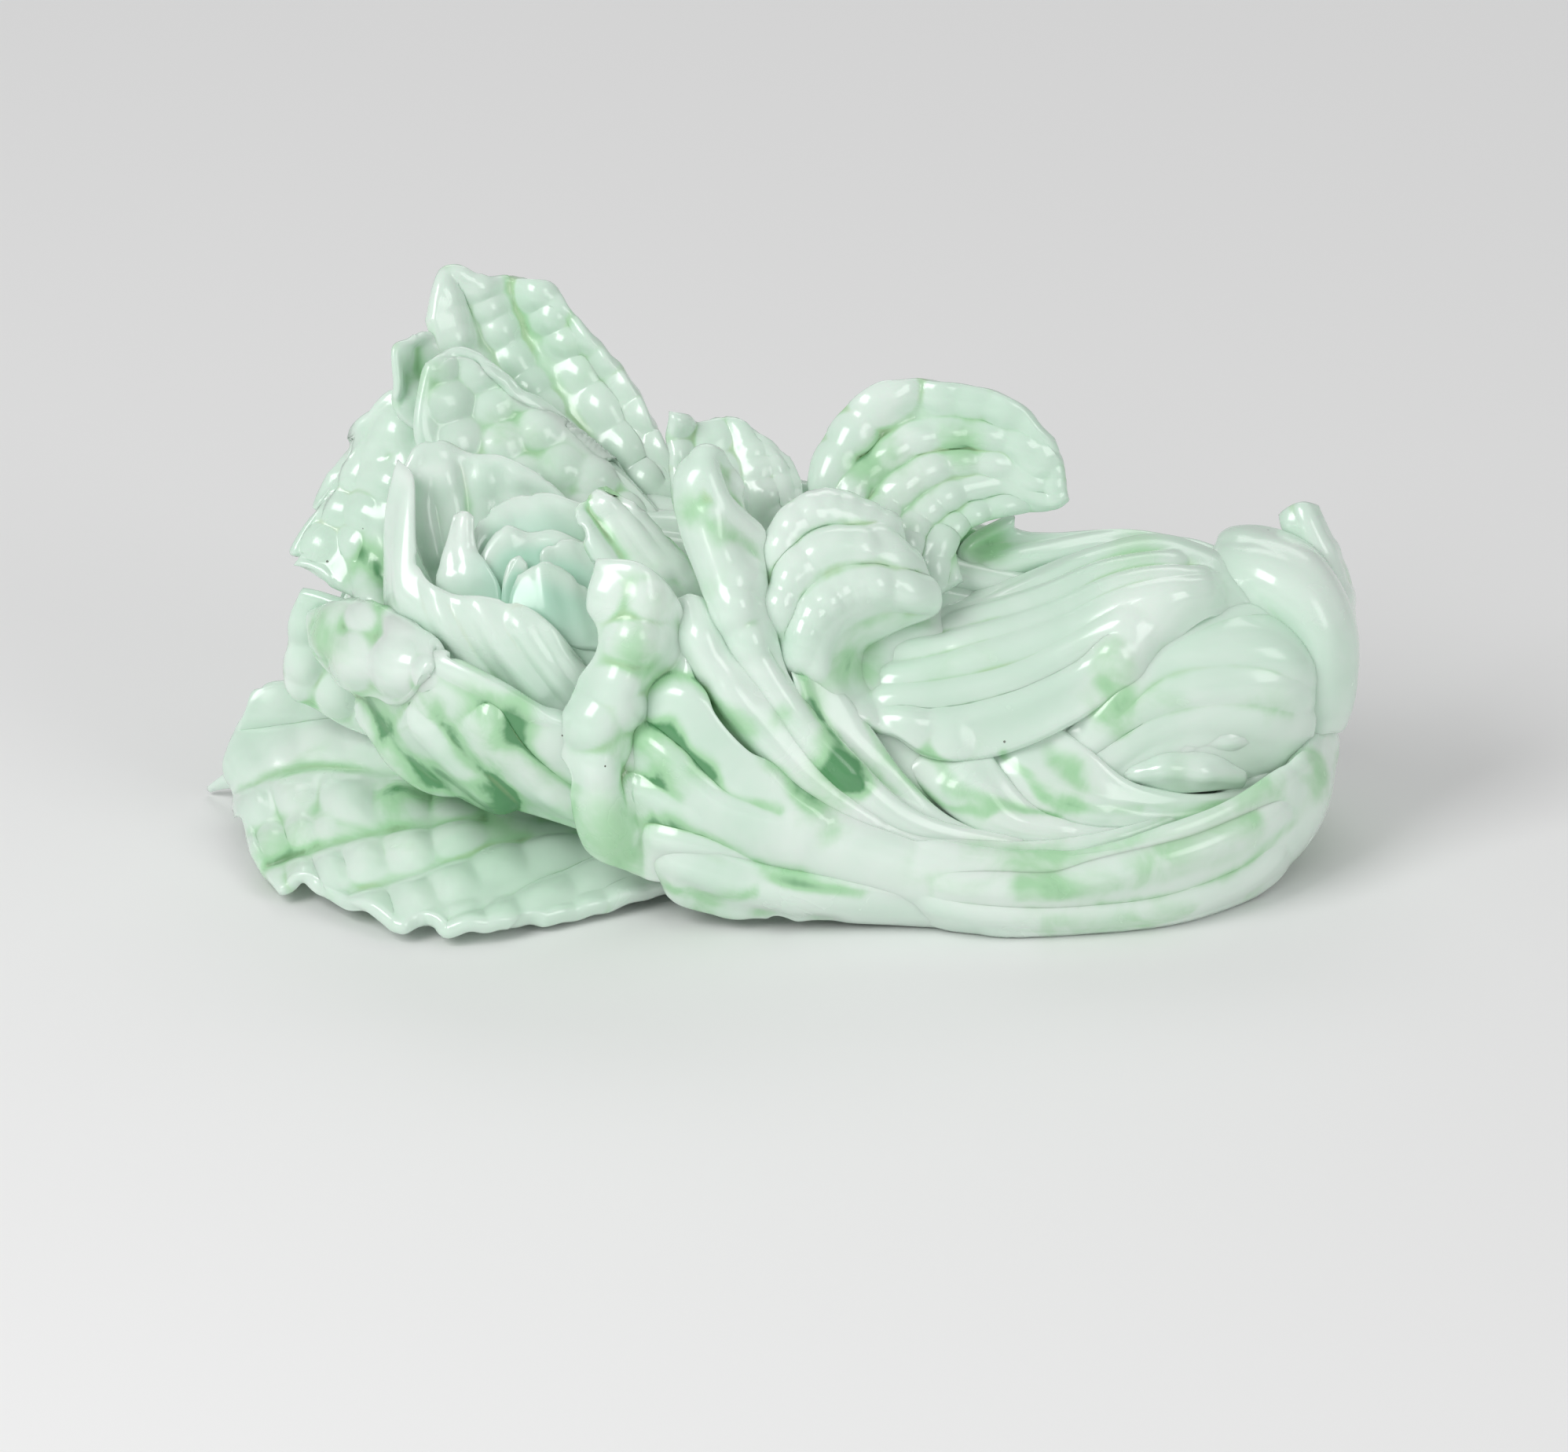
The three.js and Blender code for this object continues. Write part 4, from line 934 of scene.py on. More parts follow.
CORE_END_POWER = 12
CORE_FOOT_SHARE = 0.15
# Painted teal shade on the core, which shows only in the gaps between the leaves
CORE_PAINTED_SHADE = 0.15
RIB_HEIGHT = 0.5
FINE_RIBS, FINE_SEED = 22, 77
LEAF_RIBS, LEAF_SEED, LEAF_BEND, LEAF_GAIN = 9, 79, 0.8, 2.4


def carved_core():
    """The stone inside: fine ribs, with the wider swell of nine leaves under them."""
    bpy.ops.mesh.primitive_uv_sphere_add(
        segments=CORE_TURNS, ring_count=CORE_RINGS, radius=1, location=(0, 0, 0))
    piece = bpy.context.object
    piece.name = piece.data.name = "carved_core"
    ball = vertex_places(piece)
    along = np.arccos(np.clip(ball[:, 2], -1, 1)) / math.pi
    turn = np.arctan2(ball[:, 1], ball[:, 0])
    ring = on_curve(np.array(CORE_RING_SHARES), along)
    closing = np.sqrt(np.clip(1 - np.abs(2 * along - 1) ** CORE_END_POWER, 0, 1))
    foot = 1 - CORE_FOOT_SHARE * np.sin(turn)
    turn_share = turn / (2 * math.pi) + 0.5
    ribs = long_ridges(turn_share, along, FINE_RIBS, FINE_SEED)
    ribs = ribs + LEAF_GAIN * long_ridges(turn_share, along, LEAF_RIBS, LEAF_SEED, LEAF_BEND)
    half_depth = ring[:, 3] * closing * CARVING_DEPTH * foot + ribs * RIB_HEIGHT * MM
    half_height = ring[:, 4] * closing * CARVING_HEIGHT + ribs * RIB_HEIGHT * MM
    places = hidden(ring[:, :3])
    places[:, 1] += np.cos(turn) * half_depth
    places[:, 2] += np.sin(turn) * half_height
    places[:, 2] = np.maximum(places[:, 2], 0)
    piece.data.vertices.foreach_set("co", places.reshape(-1))
    store_on_vertices(piece, {"green": green_and_shade_of(places), "groove": np.zeros(len(places)),
                              "painted_shade": np.full(len(places), CORE_PAINTED_SHADE)})
    select_only(piece)
    bpy.ops.object.mode_set(mode="EDIT")
    bpy.ops.mesh.select_all(action="SELECT")
    bpy.ops.mesh.normals_make_consistent(inside=False)
    bpy.ops.object.mode_set(mode="OBJECT")
    finish_piece(piece, "core")


carved_core()

# %% [markdown]
# ## The sheaf of stems in front
# The outermost leaf comes round the cut end of the stem, sweeps along the front in one long ribbed
# stalk and rolls its rim over the head. Thinner leaves lie in its bend like a sheaf. They could be
# bent out of flat grids with Curve modifiers, but a sheet through sections goes just where the
# picture shows it. Where one rib lies on the next, the relief steps up on one side of the line.

# %% How thick each kind of leaf is, at its stem and at its tip
STALK = (4.2 * MM, 2.2 * MM)
LEAF = (3.4 * MM, 2.0 * MM)
FAN = (3.2 * MM, 1.8 * MM)
PETAL = (2.6 * MM, 1.3 * MM)
HEART = (1.8 * MM, 0.9 * MM)
BELLY = (5.0 * MM, 3.8 * MM)
print("the thickest stone of a leaf is", round(max(BELLY) / MM, 1), "mm")

# %% The front curl leaf
FRONT_CURL_PIXELS = [
    [[1690, 960, 330], [1690, 945, 333], [1688, 930, 336], [1680, 915, 340], [1670, 900, 345]],
    [[1640, 1080, 250], [1652, 1055, 225], [1652, 1030, 207], [1645, 1000, 200], [1630, 975, 205]],
    [[1500, 1160, 125], [1502, 1135, 98], [1498, 1105, 85], [1495, 1078, 85], [1490, 1050, 100]],
    [[1300, 1178, 88], [1302, 1158, 58], [1300, 1135, 46], [1300, 1113, 50], [1300, 1092, 68]],
    [[1150, 1158, 90], [1140, 1130, 52], [1128, 1105, 40], [1120, 1080, 40], [1110, 1052, 58]],
    [[1000, 1120, 88], [990, 1085, 58], [975, 1048, 50], [968, 1008, 58], [955, 960, 82]],
    [[900, 1115, 92], [885, 1062, 72], [875, 1000, 70], [875, 938, 82], [890, 875, 112]],
    [[828, 1115, 98], [818, 1050, 92], [812, 978, 98], [828, 896, 113], [874, 784, 148]],
    [[782, 1096, 82], [768, 1030, 68], [768, 945, 66], [802, 848, 84], [824, 722, 124]],
    [[750, 1068, 98], [730, 1005, 96], [718, 930, 104], [743, 846, 112], [746, 712, 150]],
]
FRONT_CURL_FEATURES = [
    fold([(830, 872), (859, 871), (890, 883), (938, 926), (975, 975), (1006, 1009), (1052, 1039)],
         1.87, 45, 0.6),
    fold([(812, 925), (838, 932), (871, 960), (896, 987), (932, 1015), (1006, 1042)],
         3.23, 42, 0.1),
    fold([(792, 987), (822, 989), (847, 1000), (871, 1018), (905, 1040)], 2.55, 34, 0.1),
    fold([(831, 1045), (871, 1052), (914, 1067), (960, 1088), (1006, 1107), (1097, 1128)],
         2.72, 36, 0.2),
    ridge([(812, 925), (838, 932), (871, 960), (896, 987), (932, 1015)], 9, -0.6, 0.2),
    ridge([(795, 987), (822, 989), (847, 1000), (871, 1018)], 8, -0.5, 0.2),
    ridge([(831, 1045), (871, 1052), (914, 1067), (960, 1088), (1006, 1107)], 8, -0.5, 0.2),
    ridge([(862, 792), (868, 822), (865, 844), (828, 877), (822, 899), (815, 923), (795, 975),
           (792, 993),
           (801, 1036)], 12, -0.7),
    fold([(1170, 1072), (1222, 1088), (1304, 1094), (1365, 1081), (1467, 1056), (1549, 1023),
          (1630, 985)], 1.36, 22),
    fold([(1190, 1112), (1320, 1119), (1386, 1106), (1492, 1078), (1549, 1056), (1620, 1022)],
         1.7, 24),
    fold([(1173, 1134), (1296, 1146), (1447, 1140), (1549, 1108), (1612, 1068)], 1.53, 26),
    fold([(1250, 1163), (1365, 1168), (1467, 1158), (1549, 1136), (1620, 1095)], 0.85, 16),
    ridge([(1161, 1061), (1206, 1081), (1271, 1087), (1386, 1077), (1488, 1053), (1549, 1028),
           (1643, 975)],
          9, 0.5),
    dome(771, 760, 27, 1.3), dome(812, 815, 34, 1.7, 0.68), dome(782, 872, 26, 1.1, 0.75),
    dome(750, 918, 26, 1.4, 1.2), dome(764, 978, 24, 0.9, 0.8), dome(772, 1040, 34, 1.2, 1.5),
    dome(828, 768, 24, 1.1), dome(806, 905, 20, 0.8), dome(792, 950, 16, 0.5),
    ridge([(770, 868), (805, 884), (832, 876)], 6, -0.5),
    ridge([(738, 948), (768, 950), (796, 930)], 5, -0.5),
]
FRONT_CURL_BITES = [(736, 815, 26), (716, 987, 15), (728, 893, 6)]
carved_sheet("front_curl_leaf", seen(FRONT_CURL_PIXELS), STALK, rule(seed=3),
             FRONT_CURL_FEATURES, FRONT_CURL_BITES)

# %% The low front leaf
LOW_FRONT_PIXELS = [
    [[1300, 1176, 95], [1290, 1160, 75], [1280, 1140, 60]],
    [[1150, 1164, 100], [1130, 1145, 60], [1120, 1120, 45]],
    [[1000, 1165, 85], [990, 1135, 48], [980, 1100, 48]],
    [[900, 1157, 85], [885, 1110, 55], [880, 1065, 60]],
    [[850, 1130, 100], [835, 1098, 88], [830, 1060, 92]],
]
LOW_FRONT_FEATURES = [
    ridge([(868, 1098), (950, 1128), (1060, 1146), (1250, 1160)], 12, 0.6),
    ridge([(880, 1120), (950, 1148), (1060, 1158)], 12, -0.4),
    dome(868, 1135, 20, 0.6), dome(935, 1152, 22, 0.5), dome(1010, 1155, 20, 0.4),
]
LOW_FRONT_BITES = [(995, 1174, 12), (852, 1160, 8)]
carved_sheet("low_front_leaf", seen(LOW_FRONT_PIXELS), LEAF, rule(seed=4),
             LOW_FRONT_FEATURES, LOW_FRONT_BITES)

# %% The front inner leaf
FRONT_INNER_PIXELS = [
    [[1690, 950, 340], [1685, 930, 345], [1680, 915, 350]],
    [[1600, 1014, 228], [1600, 994, 218], [1600, 979, 222]],
    [[1450, 1080, 118], [1450, 1060, 113], [1450, 1045, 122]],
    [[1300, 1104, 82], [1300, 1087, 77], [1300, 1070, 88]],
    [[1145, 1088, 68], [1152, 1066, 62], [1165, 1050, 75]],
    [[1005, 1022, 92], [1032, 1000, 72], [1060, 985, 82]],
    [[900, 925, 130], [942, 905, 95], [982, 888, 110]],
    [[848, 850, 168], [893, 822, 126], [930, 820, 145]],
    [[838, 772, 190], [875, 757, 166], [910, 776, 170]],
]
FRONT_INNER_FEATURES = [
    dome(892, 800, 26, 0.9, 1.8),
    ridge([(925, 880), (975, 945), (1030, 1000), (1110, 1048)], 10, 0.6),
    ridge([(905, 870), (945, 935), (1000, 990)], 8, -0.6),
    fold([(880, 800), (900, 860), (940, 915)], 0.9, 18, 0.6, -1),
]
FRONT_INNER_BITES = [(868, 752, 7), (915, 772, 7), (838, 800, 6)]
carved_sheet("front_inner_leaf", seen(FRONT_INNER_PIXELS), LEAF, rule(seed=5),
             FRONT_INNER_FEATURES, FRONT_INNER_BITES)

# %% The small curl leaf
SMALL_CURL_PIXELS = [
    [[1310, 1102, 96], [1305, 1084, 92], [1300, 1066, 100]],
    [[1150, 1068, 80], [1158, 1051, 70], [1170, 1034, 82]],
    [[1040, 992, 92], [1062, 974, 76], [1088, 962, 90]],
    [[970, 890, 125], [995, 885, 108], [1020, 885, 122]],
    [[912, 785, 150], [950, 790, 132], [990, 828, 148]],
    [[893, 728, 178], [930, 730, 158], [975, 748, 188]],
    [[874, 680, 205], [916, 674, 185], [968, 690, 225]],
    [[863, 628, 230], [900, 612, 218], [945, 640, 250]],
    [[875, 592, 248], [900, 573, 250], [930, 590, 265]],
]
SMALL_CURL_FEATURES = [
    ridge([(884, 610), (882, 650), (894, 700), (914, 750)], 15, 1.3, 0.6),
    ridge([(896, 584), (903, 610), (915, 640), (940, 668), (975, 694)], 5, 1.5, 0.8),
    ridge([(904, 580), (930, 584), (944, 602), (942, 622)], 7, 1.4, 0.9), dome(940, 618, 10, 1.2),
    dome(921, 610, 8, -1.0), ridge([(928, 636), (950, 656), (975, 672)], 6, -0.7, 0.5),
    ridge([(925, 686), (945, 702), (962, 712)], 8, -0.5, 0.4), dome(908, 655, 10, 0.6),
    dome(935, 775, 22, 1.2), dome(960, 815, 18, 0.9), dome(948, 738, 18, 0.9),
    ridge([(930, 790), (965, 850), (1010, 915), (1080, 985)], 9, 0.7),
    ridge([(950, 790), (990, 850), (1040, 915)], 8, -0.6),
]
SMALL_CURL_BITES = [(985, 700, 7)]
carved_sheet("small_curl_leaf", seen(SMALL_CURL_PIXELS), LEAF, rule(seed=6),
             SMALL_CURL_FEATURES, SMALL_CURL_BITES)

# %% The low stem leaf
STEM_LOW_PIXELS = [
    [[1430, 1068, 110], [1430, 1075, 105], [1430, 1082, 105]],
    [[1300, 1068, 95], [1290, 1080, 88], [1280, 1090, 88]],
    [[1210, 1040, 95], [1180, 1050, 85], [1160, 1060, 85]],
    [[1150, 985, 110], [1120, 1000, 97], [1095, 1005, 92]],
    [[1110, 930, 130], [1060, 930, 112], [1030, 930, 108]],
    [[1050, 850, 150], [1020, 860, 132], [1005, 850, 135]],
]
STEM_LOW_FEATURES = [
    ridge([(1013, 870), (1040, 930), (1095, 1000), (1180, 1052)], 10, 0.5),
    ridge([(1030, 862), (1070, 940), (1130, 1010)], 10, -0.3),
]
carved_sheet("stem_leaf_low", seen(STEM_LOW_PIXELS), FAN, rule(seed=7), STEM_LOW_FEATURES)

# %% The middle stem leaf
STEM_MIDDLE_PIXELS = [
    [[1560, 1038, 178], [1560, 1048, 172], [1560, 1058, 168]],
    [[1430, 1052, 120], [1430, 1062, 114], [1430, 1072, 114]],
    [[1330, 1035, 114], [1310, 1055, 102], [1300, 1072, 100]],
    [[1270, 975, 135], [1240, 1010, 112], [1220, 1045, 100]],
    [[1242, 918, 178], [1190, 945, 158], [1142, 975, 135]],
]
STEM_MIDDLE_FEATURES = [
    ridge([(1227, 979), (1251, 1012), (1284, 1044), (1345, 1055)], 11, 0.7),
    ridge([(1116, 947), (1149, 983), (1194, 1024), (1235, 1061)], 16, -0.5),
    dome(1216, 1003, 16, 0.8),
]
carved_sheet("stem_leaf_middle", seen(STEM_MIDDLE_PIXELS), FAN, rule(seed=8), STEM_MIDDLE_FEATURES)

# %% The high stem leaf
STEM_HIGH_PIXELS = [
    [[1660, 948, 300], [1665, 962, 292], [1665, 976, 288]],
    [[1560, 1008, 184], [1565, 1025, 170], [1565, 1040, 165]],
    [[1450, 1005, 152], [1450, 1030, 126], [1445, 1052, 120]],
    [[1380, 952, 158], [1360, 1000, 128], [1350, 1045, 116]],
    [[1335, 915, 180], [1302, 965, 148], [1280, 1008, 124]],
    [[1302, 888, 200], [1268, 932, 176], [1238, 970, 156]],
]
STEM_HIGH_FEATURES = [
    ridge([(1361, 926), (1386, 955), (1414, 979), (1447, 1004), (1484, 1012), (1549, 1008),
           (1610, 983)], 10, 0.8),
    ridge([(1330, 950), (1370, 1000), (1440, 1026), (1560, 1028)], 12, -0.4),
    ridge([(1290, 960), (1330, 1008), (1394, 1036)], 10, 0.5),
]
carved_sheet("stem_leaf_high", seen(STEM_HIGH_PIXELS), FAN, rule(seed=9), STEM_HIGH_FEATURES)

# %% [markdown]
# ## The root end
# Behind the bend the stems swell into a ribbed belly, with two small leaves on it, and a fat stalk
# wraps round the cut end and ends in a curled leaf. The belly could be a part of the core, but as a
# thick sheet of its own it gets its ribs and green valleys in the same way as the leaves.

# %% The belly leaf
BELLY_PIXELS = [
    [[1655, 850, 290], [1662, 885, 278], [1660, 925, 280], [1650, 965, 292]],
    [[1600, 790, 290], [1622, 835, 240], [1625, 900, 226], [1610, 980, 238]],
    [[1520, 800, 270], [1532, 845, 215], [1532, 915, 196], [1525, 1000, 192]],
    [[1440, 850, 225], [1440, 895, 192], [1432, 950, 178], [1425, 1020, 168]],
    [[1370, 915, 190], [1368, 945, 178], [1358, 980, 170], [1350, 1020, 165]],
    [[1320, 950, 180], [1315, 970, 172], [1308, 990, 168], [1300, 1010, 165]],
]
BELLY_FEATURES = [
    fold([(1655, 850), (1630, 800), (1560, 800), (1480, 842), (1390, 905)], 1.3, 26),
    fold([(1655, 872), (1611, 842), (1543, 840), (1470, 864), (1390, 930)], 1.43, 30),
    fold([(1650, 895), (1600, 880), (1530, 880), (1450, 905), (1370, 958)], 1.3, 30),
    fold([(1620, 930), (1540, 915), (1460, 935), (1390, 985)], 0.78, 30),
]
carved_sheet("belly_leaf", seen(BELLY_PIXELS), BELLY, rule(seed=12), BELLY_FEATURES)

# %% The upper small leaf
SMALL_UPPER_PIXELS = [
    [[1642, 930, 264], [1640, 939, 257], [1634, 948, 259]],
    [[1590, 912, 214], [1596, 935, 199], [1590, 960, 208]],
    [[1530, 918, 192], [1530, 945, 174], [1530, 970, 194]],
    [[1470, 948, 178], [1470, 963, 168], [1475, 978, 184]],
    [[1438, 968, 178], [1435, 975, 174], [1440, 982, 180]],
]
SUNK_PIXELS = (0, 0, 8)
SMALL_UPPER_FEATURES = [
    ridge([(1440, 984), (1530, 945), (1634, 938)], 6, 0.5), dome(1500, 950, 16, 0.5),
    dome(1560, 940, 18, 0.5), dome(1600, 945, 14, 0.4),
]
SMALL_UPPER_BITES = [(1498, 918, 10)]
carved_sheet("small_leaf_upper", seen(np.add(SMALL_UPPER_PIXELS, SUNK_PIXELS)), HEART,
             features=SMALL_UPPER_FEATURES, bites=SMALL_UPPER_BITES)

# %% The lower small leaf
SMALL_LOWER_PIXELS = [
    [[1580, 984, 188], [1580, 992, 183], [1575, 1000, 184]],
    [[1540, 960, 174], [1540, 982, 154], [1535, 1005, 159]],
    [[1490, 955, 164], [1490, 980, 142], [1490, 1008, 148]],
    [[1450, 968, 158], [1448, 982, 143], [1452, 1000, 148]],
    [[1430, 983, 157], [1428, 989, 152], [1432, 995, 153]],
]
SMALL_LOWER_FEATURES = [
    ridge([(1436, 986), (1500, 980), (1575, 990)], 6, 0.5), dome(1480, 975, 14, 0.5),
    dome(1525, 985, 14, 0.5),
]
carved_sheet("small_leaf_lower", seen(np.add(SMALL_LOWER_PIXELS, SUNK_PIXELS)), HEART,
             features=SMALL_LOWER_FEATURES)

# %% The end stalk
END_STALK_PIXELS = [
    [[1540, 752, 325], [1538, 722, 350], [1548, 705, 385], [1566, 694, 410]],
    [[1582, 772, 300], [1588, 735, 312], [1602, 706, 360], [1614, 691, 410]],
    [[1618, 795, 285], [1642, 757, 282], [1660, 730, 328], [1668, 720, 390]],
    [[1645, 828, 280], [1674, 802, 268], [1696, 792, 308], [1704, 797, 375]],
    [[1656, 872, 285], [1680, 862, 268], [1699, 862, 300], [1707, 864, 360]],
    [[1666, 932, 300], [1680, 927, 288], [1690, 927, 308], [1696, 930, 350]],
]
END_STALK_FEATURES = [
    fold([(1560, 702), (1609, 716), (1650, 738), (1680, 785), (1690, 840), (1688, 925)],
         1.26, 16, 1.0, -1),
    fold([(1560, 720), (1609, 738), (1645, 757), (1668, 800), (1678, 850), (1676, 925)],
         1.26, 18, 1.0, -1),
    fold([(1585, 722), (1640, 776), (1660, 825), (1666, 900)], 0.84, 18, 1.0, -1),
]
carved_sheet("end_stalk", seen(END_STALK_PIXELS), BELLY, rule(seed=15), END_STALK_FEATURES)

# %% The end leaf
END_LEAF_PIXELS = [
    [[1694, 930, 345], [1700, 918, 356], [1704, 905, 388]],
    [[1705, 865, 352], [1712, 855, 372], [1716, 850, 403]],
    [[1697, 800, 368], [1711, 790, 384], [1719, 790, 416]],
    [[1676, 745, 388], [1697, 733, 392], [1713, 735, 424]],
    [[1654, 708, 404], [1678, 697, 394], [1699, 702, 427]],
    [[1640, 684, 414], [1664, 672, 400], [1689, 674, 427]],
    [[1626, 652, 425], [1650, 640, 415], [1676, 640, 428]],
]
END_LEAF_FEATURES = [
    fold([(1640, 655), (1660, 690), (1688, 740), (1706, 820), (1703, 900)], 0.8, 12, 1.0, -1),
    ridge([(1660, 650), (1676, 690), (1698, 750), (1712, 850)], 6, 0.8),
    ridge([(1650, 652), (1664, 690), (1684, 745)], 4, -0.7),
    dome(1640, 668, 12, 0.8), dome(1692, 700, 12, 0.6), dome(1708, 760, 12, 0.6),
]
END_LEAF_BITES = [(1693, 652, 9), (1707, 694, 8), (1612, 674, 10)]
END_LEAF_RIM = dict(ruffle=0.4, start=0.4, seed=16)
carved_sheet("end_leaf", seen(END_LEAF_PIXELS), PETAL, features=END_LEAF_FEATURES,
             bites=END_LEAF_BITES, rim=END_LEAF_RIM)

# %% [markdown]
# ## The large leaves on top
# One leaf lies along the top of the stems and its end curls over like a wave. Behind it stands a
# leaf like a fan, its veins bent in arcs, with rows of small blisters between them. A noise
# pattern would give blisters too, but not in rows, so each row follows a line of its own.

# %% The swept curl leaf
SWEPT_CURL_PIXELS = [
    [[1640, 760, 330], [1630, 785, 305], [1620, 800, 290], [1600, 812, 283], [1580, 812, 280]],
    [[1590, 735, 345], [1570, 742, 315], [1555, 755, 285], [1540, 772, 268], [1530, 788, 255]],
    [[1480, 690, 365], [1475, 715, 315], [1465, 752, 265], [1455, 800, 230], [1448, 856, 205]],
    [[1390, 705, 360], [1378, 745, 300], [1370, 800, 240], [1370, 860, 200], [1380, 912, 165]],
    [[1290, 742, 345], [1275, 780, 280], [1268, 835, 220], [1270, 895, 180], [1282, 958, 140]],
    [[1210, 768, 330], [1190, 800, 268], [1178, 848, 215], [1180, 905, 172], [1195, 968, 132]],
    [[1140, 790, 290], [1110, 812, 248], [1095, 845, 212], [1100, 890, 172], [1125, 938, 138]],
    [[1190, 773, 240], [1125, 793, 212], [1072, 806, 178], [1052, 858, 145], [1078, 912, 134]],
    [[1190, 745, 232], [1110, 728, 200], [1043, 750, 178], [1014, 815, 152], [1048, 878, 140]],
    [[1160, 708, 258], [1085, 684, 228], [1016, 708, 205], [985, 775, 172], [1015, 855, 150]],
    [[1125, 668, 295], [1060, 627, 285], [998, 650, 255], [972, 728, 215], [985, 805, 178]],
]
SWEPT_CURL_FEATURES = [
    blister_row([(990, 712), (1004, 674), (1036, 652), (1068, 649), (1102, 662), (1132, 690)],
                7, 17, 2.3, 2, 0.55),
    blister_row([(990, 782), (1000, 745), (1018, 720), (1042, 703), (1070, 695), (1108, 698),
                 (1150, 718)],
                8, 16, 2.1, 3, 0.55),
    blister_row([(1014, 838), (1022, 804), (1036, 780), (1056, 763), (1086, 748), (1125, 744),
                 (1185, 760)],
                8, 15, 2.0, 4, 0.55),
    ridge([(984, 748), (996, 716), (1014, 692), (1040, 675), (1075, 671), (1112, 680), (1148, 702)],
          6, -0.9),
    ridge([(1003, 812), (1012, 775), (1030, 750), (1055, 731), (1085, 720), (1130, 722),
           (1180, 738)], 6, -0.9),
    fold([(1042, 862), (1046, 822), (1062, 795), (1090, 778), (1130, 765), (1185, 770)],
         1.3, 20, 1.0, -1),
    fold([(1125, 826), (1219, 820), (1330, 790), (1430, 750), (1530, 738)], 2.0, 26),
    fold([(1115, 858), (1163, 858), (1248, 838), (1350, 806), (1440, 768), (1540, 752)], 2.1, 26),
    fold([(1110, 888), (1190, 882), (1290, 858), (1370, 820), (1440, 786)], 2.1, 26),
    fold([(1118, 915), (1200, 915), (1290, 893), (1370, 856), (1420, 820)], 2.1, 24),
    fold([(1200, 800), (1260, 785), (1330, 762), (1410, 730), (1500, 716)], 2.0, 24),
    ridge([(1170, 790), (1240, 782), (1320, 752), (1398, 718), (1477, 702), (1550, 728)], 10, 0.6),
    ridge([(1424, 842), (1448, 808), (1486, 772), (1530, 752)], 22, 1.9, 0.3),
    dome(1100, 915, 22, 0.8), dome(1150, 930, 24, 0.8), dome(1210, 945, 24, 0.8),
]
SWEPT_CURL_BITES = [(962, 722, 5), (1028, 625, 5)]
carved_sheet("swept_curl_leaf", seen(SWEPT_CURL_PIXELS), LEAF, rule(seed=21),
             SWEPT_CURL_FEATURES, SWEPT_CURL_BITES)

# %% The fan leaf
FAN_PIXELS = [
    [[1150, 760, 300], [1175, 760, 300], [1200, 755, 300], [1225, 740, 305]],
    [[1080, 690, 330], [1120, 700, 320], [1160, 700, 320], [1215, 705, 330]],
    [[1034, 620, 365], [1080, 630, 350], [1140, 650, 345], [1222, 685, 350]],
    [[1057, 547, 400], [1110, 570, 385], [1170, 610, 370], [1240, 668, 370]],
    [[1112, 490, 420], [1160, 530, 410], [1215, 590, 395], [1270, 658, 385]],
    [[1200, 486, 425], [1235, 530, 415], [1265, 590, 405], [1305, 650, 400]],
    [[1290, 508, 415], [1300, 550, 412], [1315, 600, 408], [1340, 643, 405]],
    [[1345, 567, 400], [1353, 590, 402], [1357, 612, 402], [1363, 630, 402]],
]
FAN_FEATURES = [
    dome(1112, 515, 30, 2.2), dome(1086, 556, 27, 2.2), dome(1064, 592, 25, 2.1),
    dome(1050, 622, 20, 1.5),
    dome(1148, 497, 25, 1.6), dome(1196, 500, 24, 1.4), dome(1236, 510, 22, 1.2),
    dome(1276, 522, 24, 1.4),
    dome(1312, 545, 24, 0.7),
    blister_row([(1076, 655), (1083, 628), (1100, 604), (1128, 582), (1168, 560), (1220, 553),
                 (1275, 560),
                 (1325, 582)], 8, 15, 2.0, 5, 0.35),
    blister_row([(1112, 690), (1120, 658), (1140, 628), (1172, 603), (1218, 588), (1275, 590),
                 (1340, 606)],
                7, 15, 2.0, 6, 0.35),
    blister_row([(1152, 712), (1156, 680), (1176, 652), (1212, 628), (1262, 616), (1315, 619),
                 (1362, 626)],
                7, 14, 2.0, 7, 0.35),
    blister_row([(1184, 742), (1188, 708), (1206, 678), (1240, 656), (1298, 640), (1345, 636)],
                6, 14, 1.9, 8, 0.45),
    ridge([(1172, 477), (1168, 508), (1164, 540)], 8, -1.0),
]
FAN_BITES = [(1176, 468, 9), (1212, 474, 7), (1242, 480, 7), (1262, 484, 5), (1356, 574, 6),
             (1075, 508, 7), (1095, 480, 5), (1050, 552, 6), (1378, 618, 6), (1322, 508, 6)]
carved_sheet("fan_leaf", seen(FAN_PIXELS), FAN, rule(seed=22), FAN_FEATURES, FAN_BITES)

# %% The stem of the fan leaf
FAN_STEM_PIXELS = [
    [[1620, 725, 360], [1610, 740, 340], [1590, 750, 330]],
    [[1500, 692, 398], [1500, 703, 382], [1495, 718, 362]],
    [[1420, 677, 418], [1415, 690, 402], [1405, 706, 372]],
    [[1340, 681, 425], [1338, 697, 405], [1332, 719, 365]],
    [[1294, 672, 422], [1270, 697, 408], [1275, 735, 355]],
    [[1290, 655, 405], [1222, 698, 378], [1240, 742, 345]],
]
FAN_STEM_FEATURES = [
    ridge([(1262, 729), (1307, 712), (1375, 694), (1430, 688), (1500, 697), (1590, 738)], 8, 0.6),
    ridge([(1280, 700), (1340, 700), (1420, 683), (1500, 692)], 10, -0.4),
]
carved_sheet("fan_leaf", seen(FAN_STEM_PIXELS), LEAF, rule(seed=23), FAN_STEM_FEATURES,
             ending="_stem")

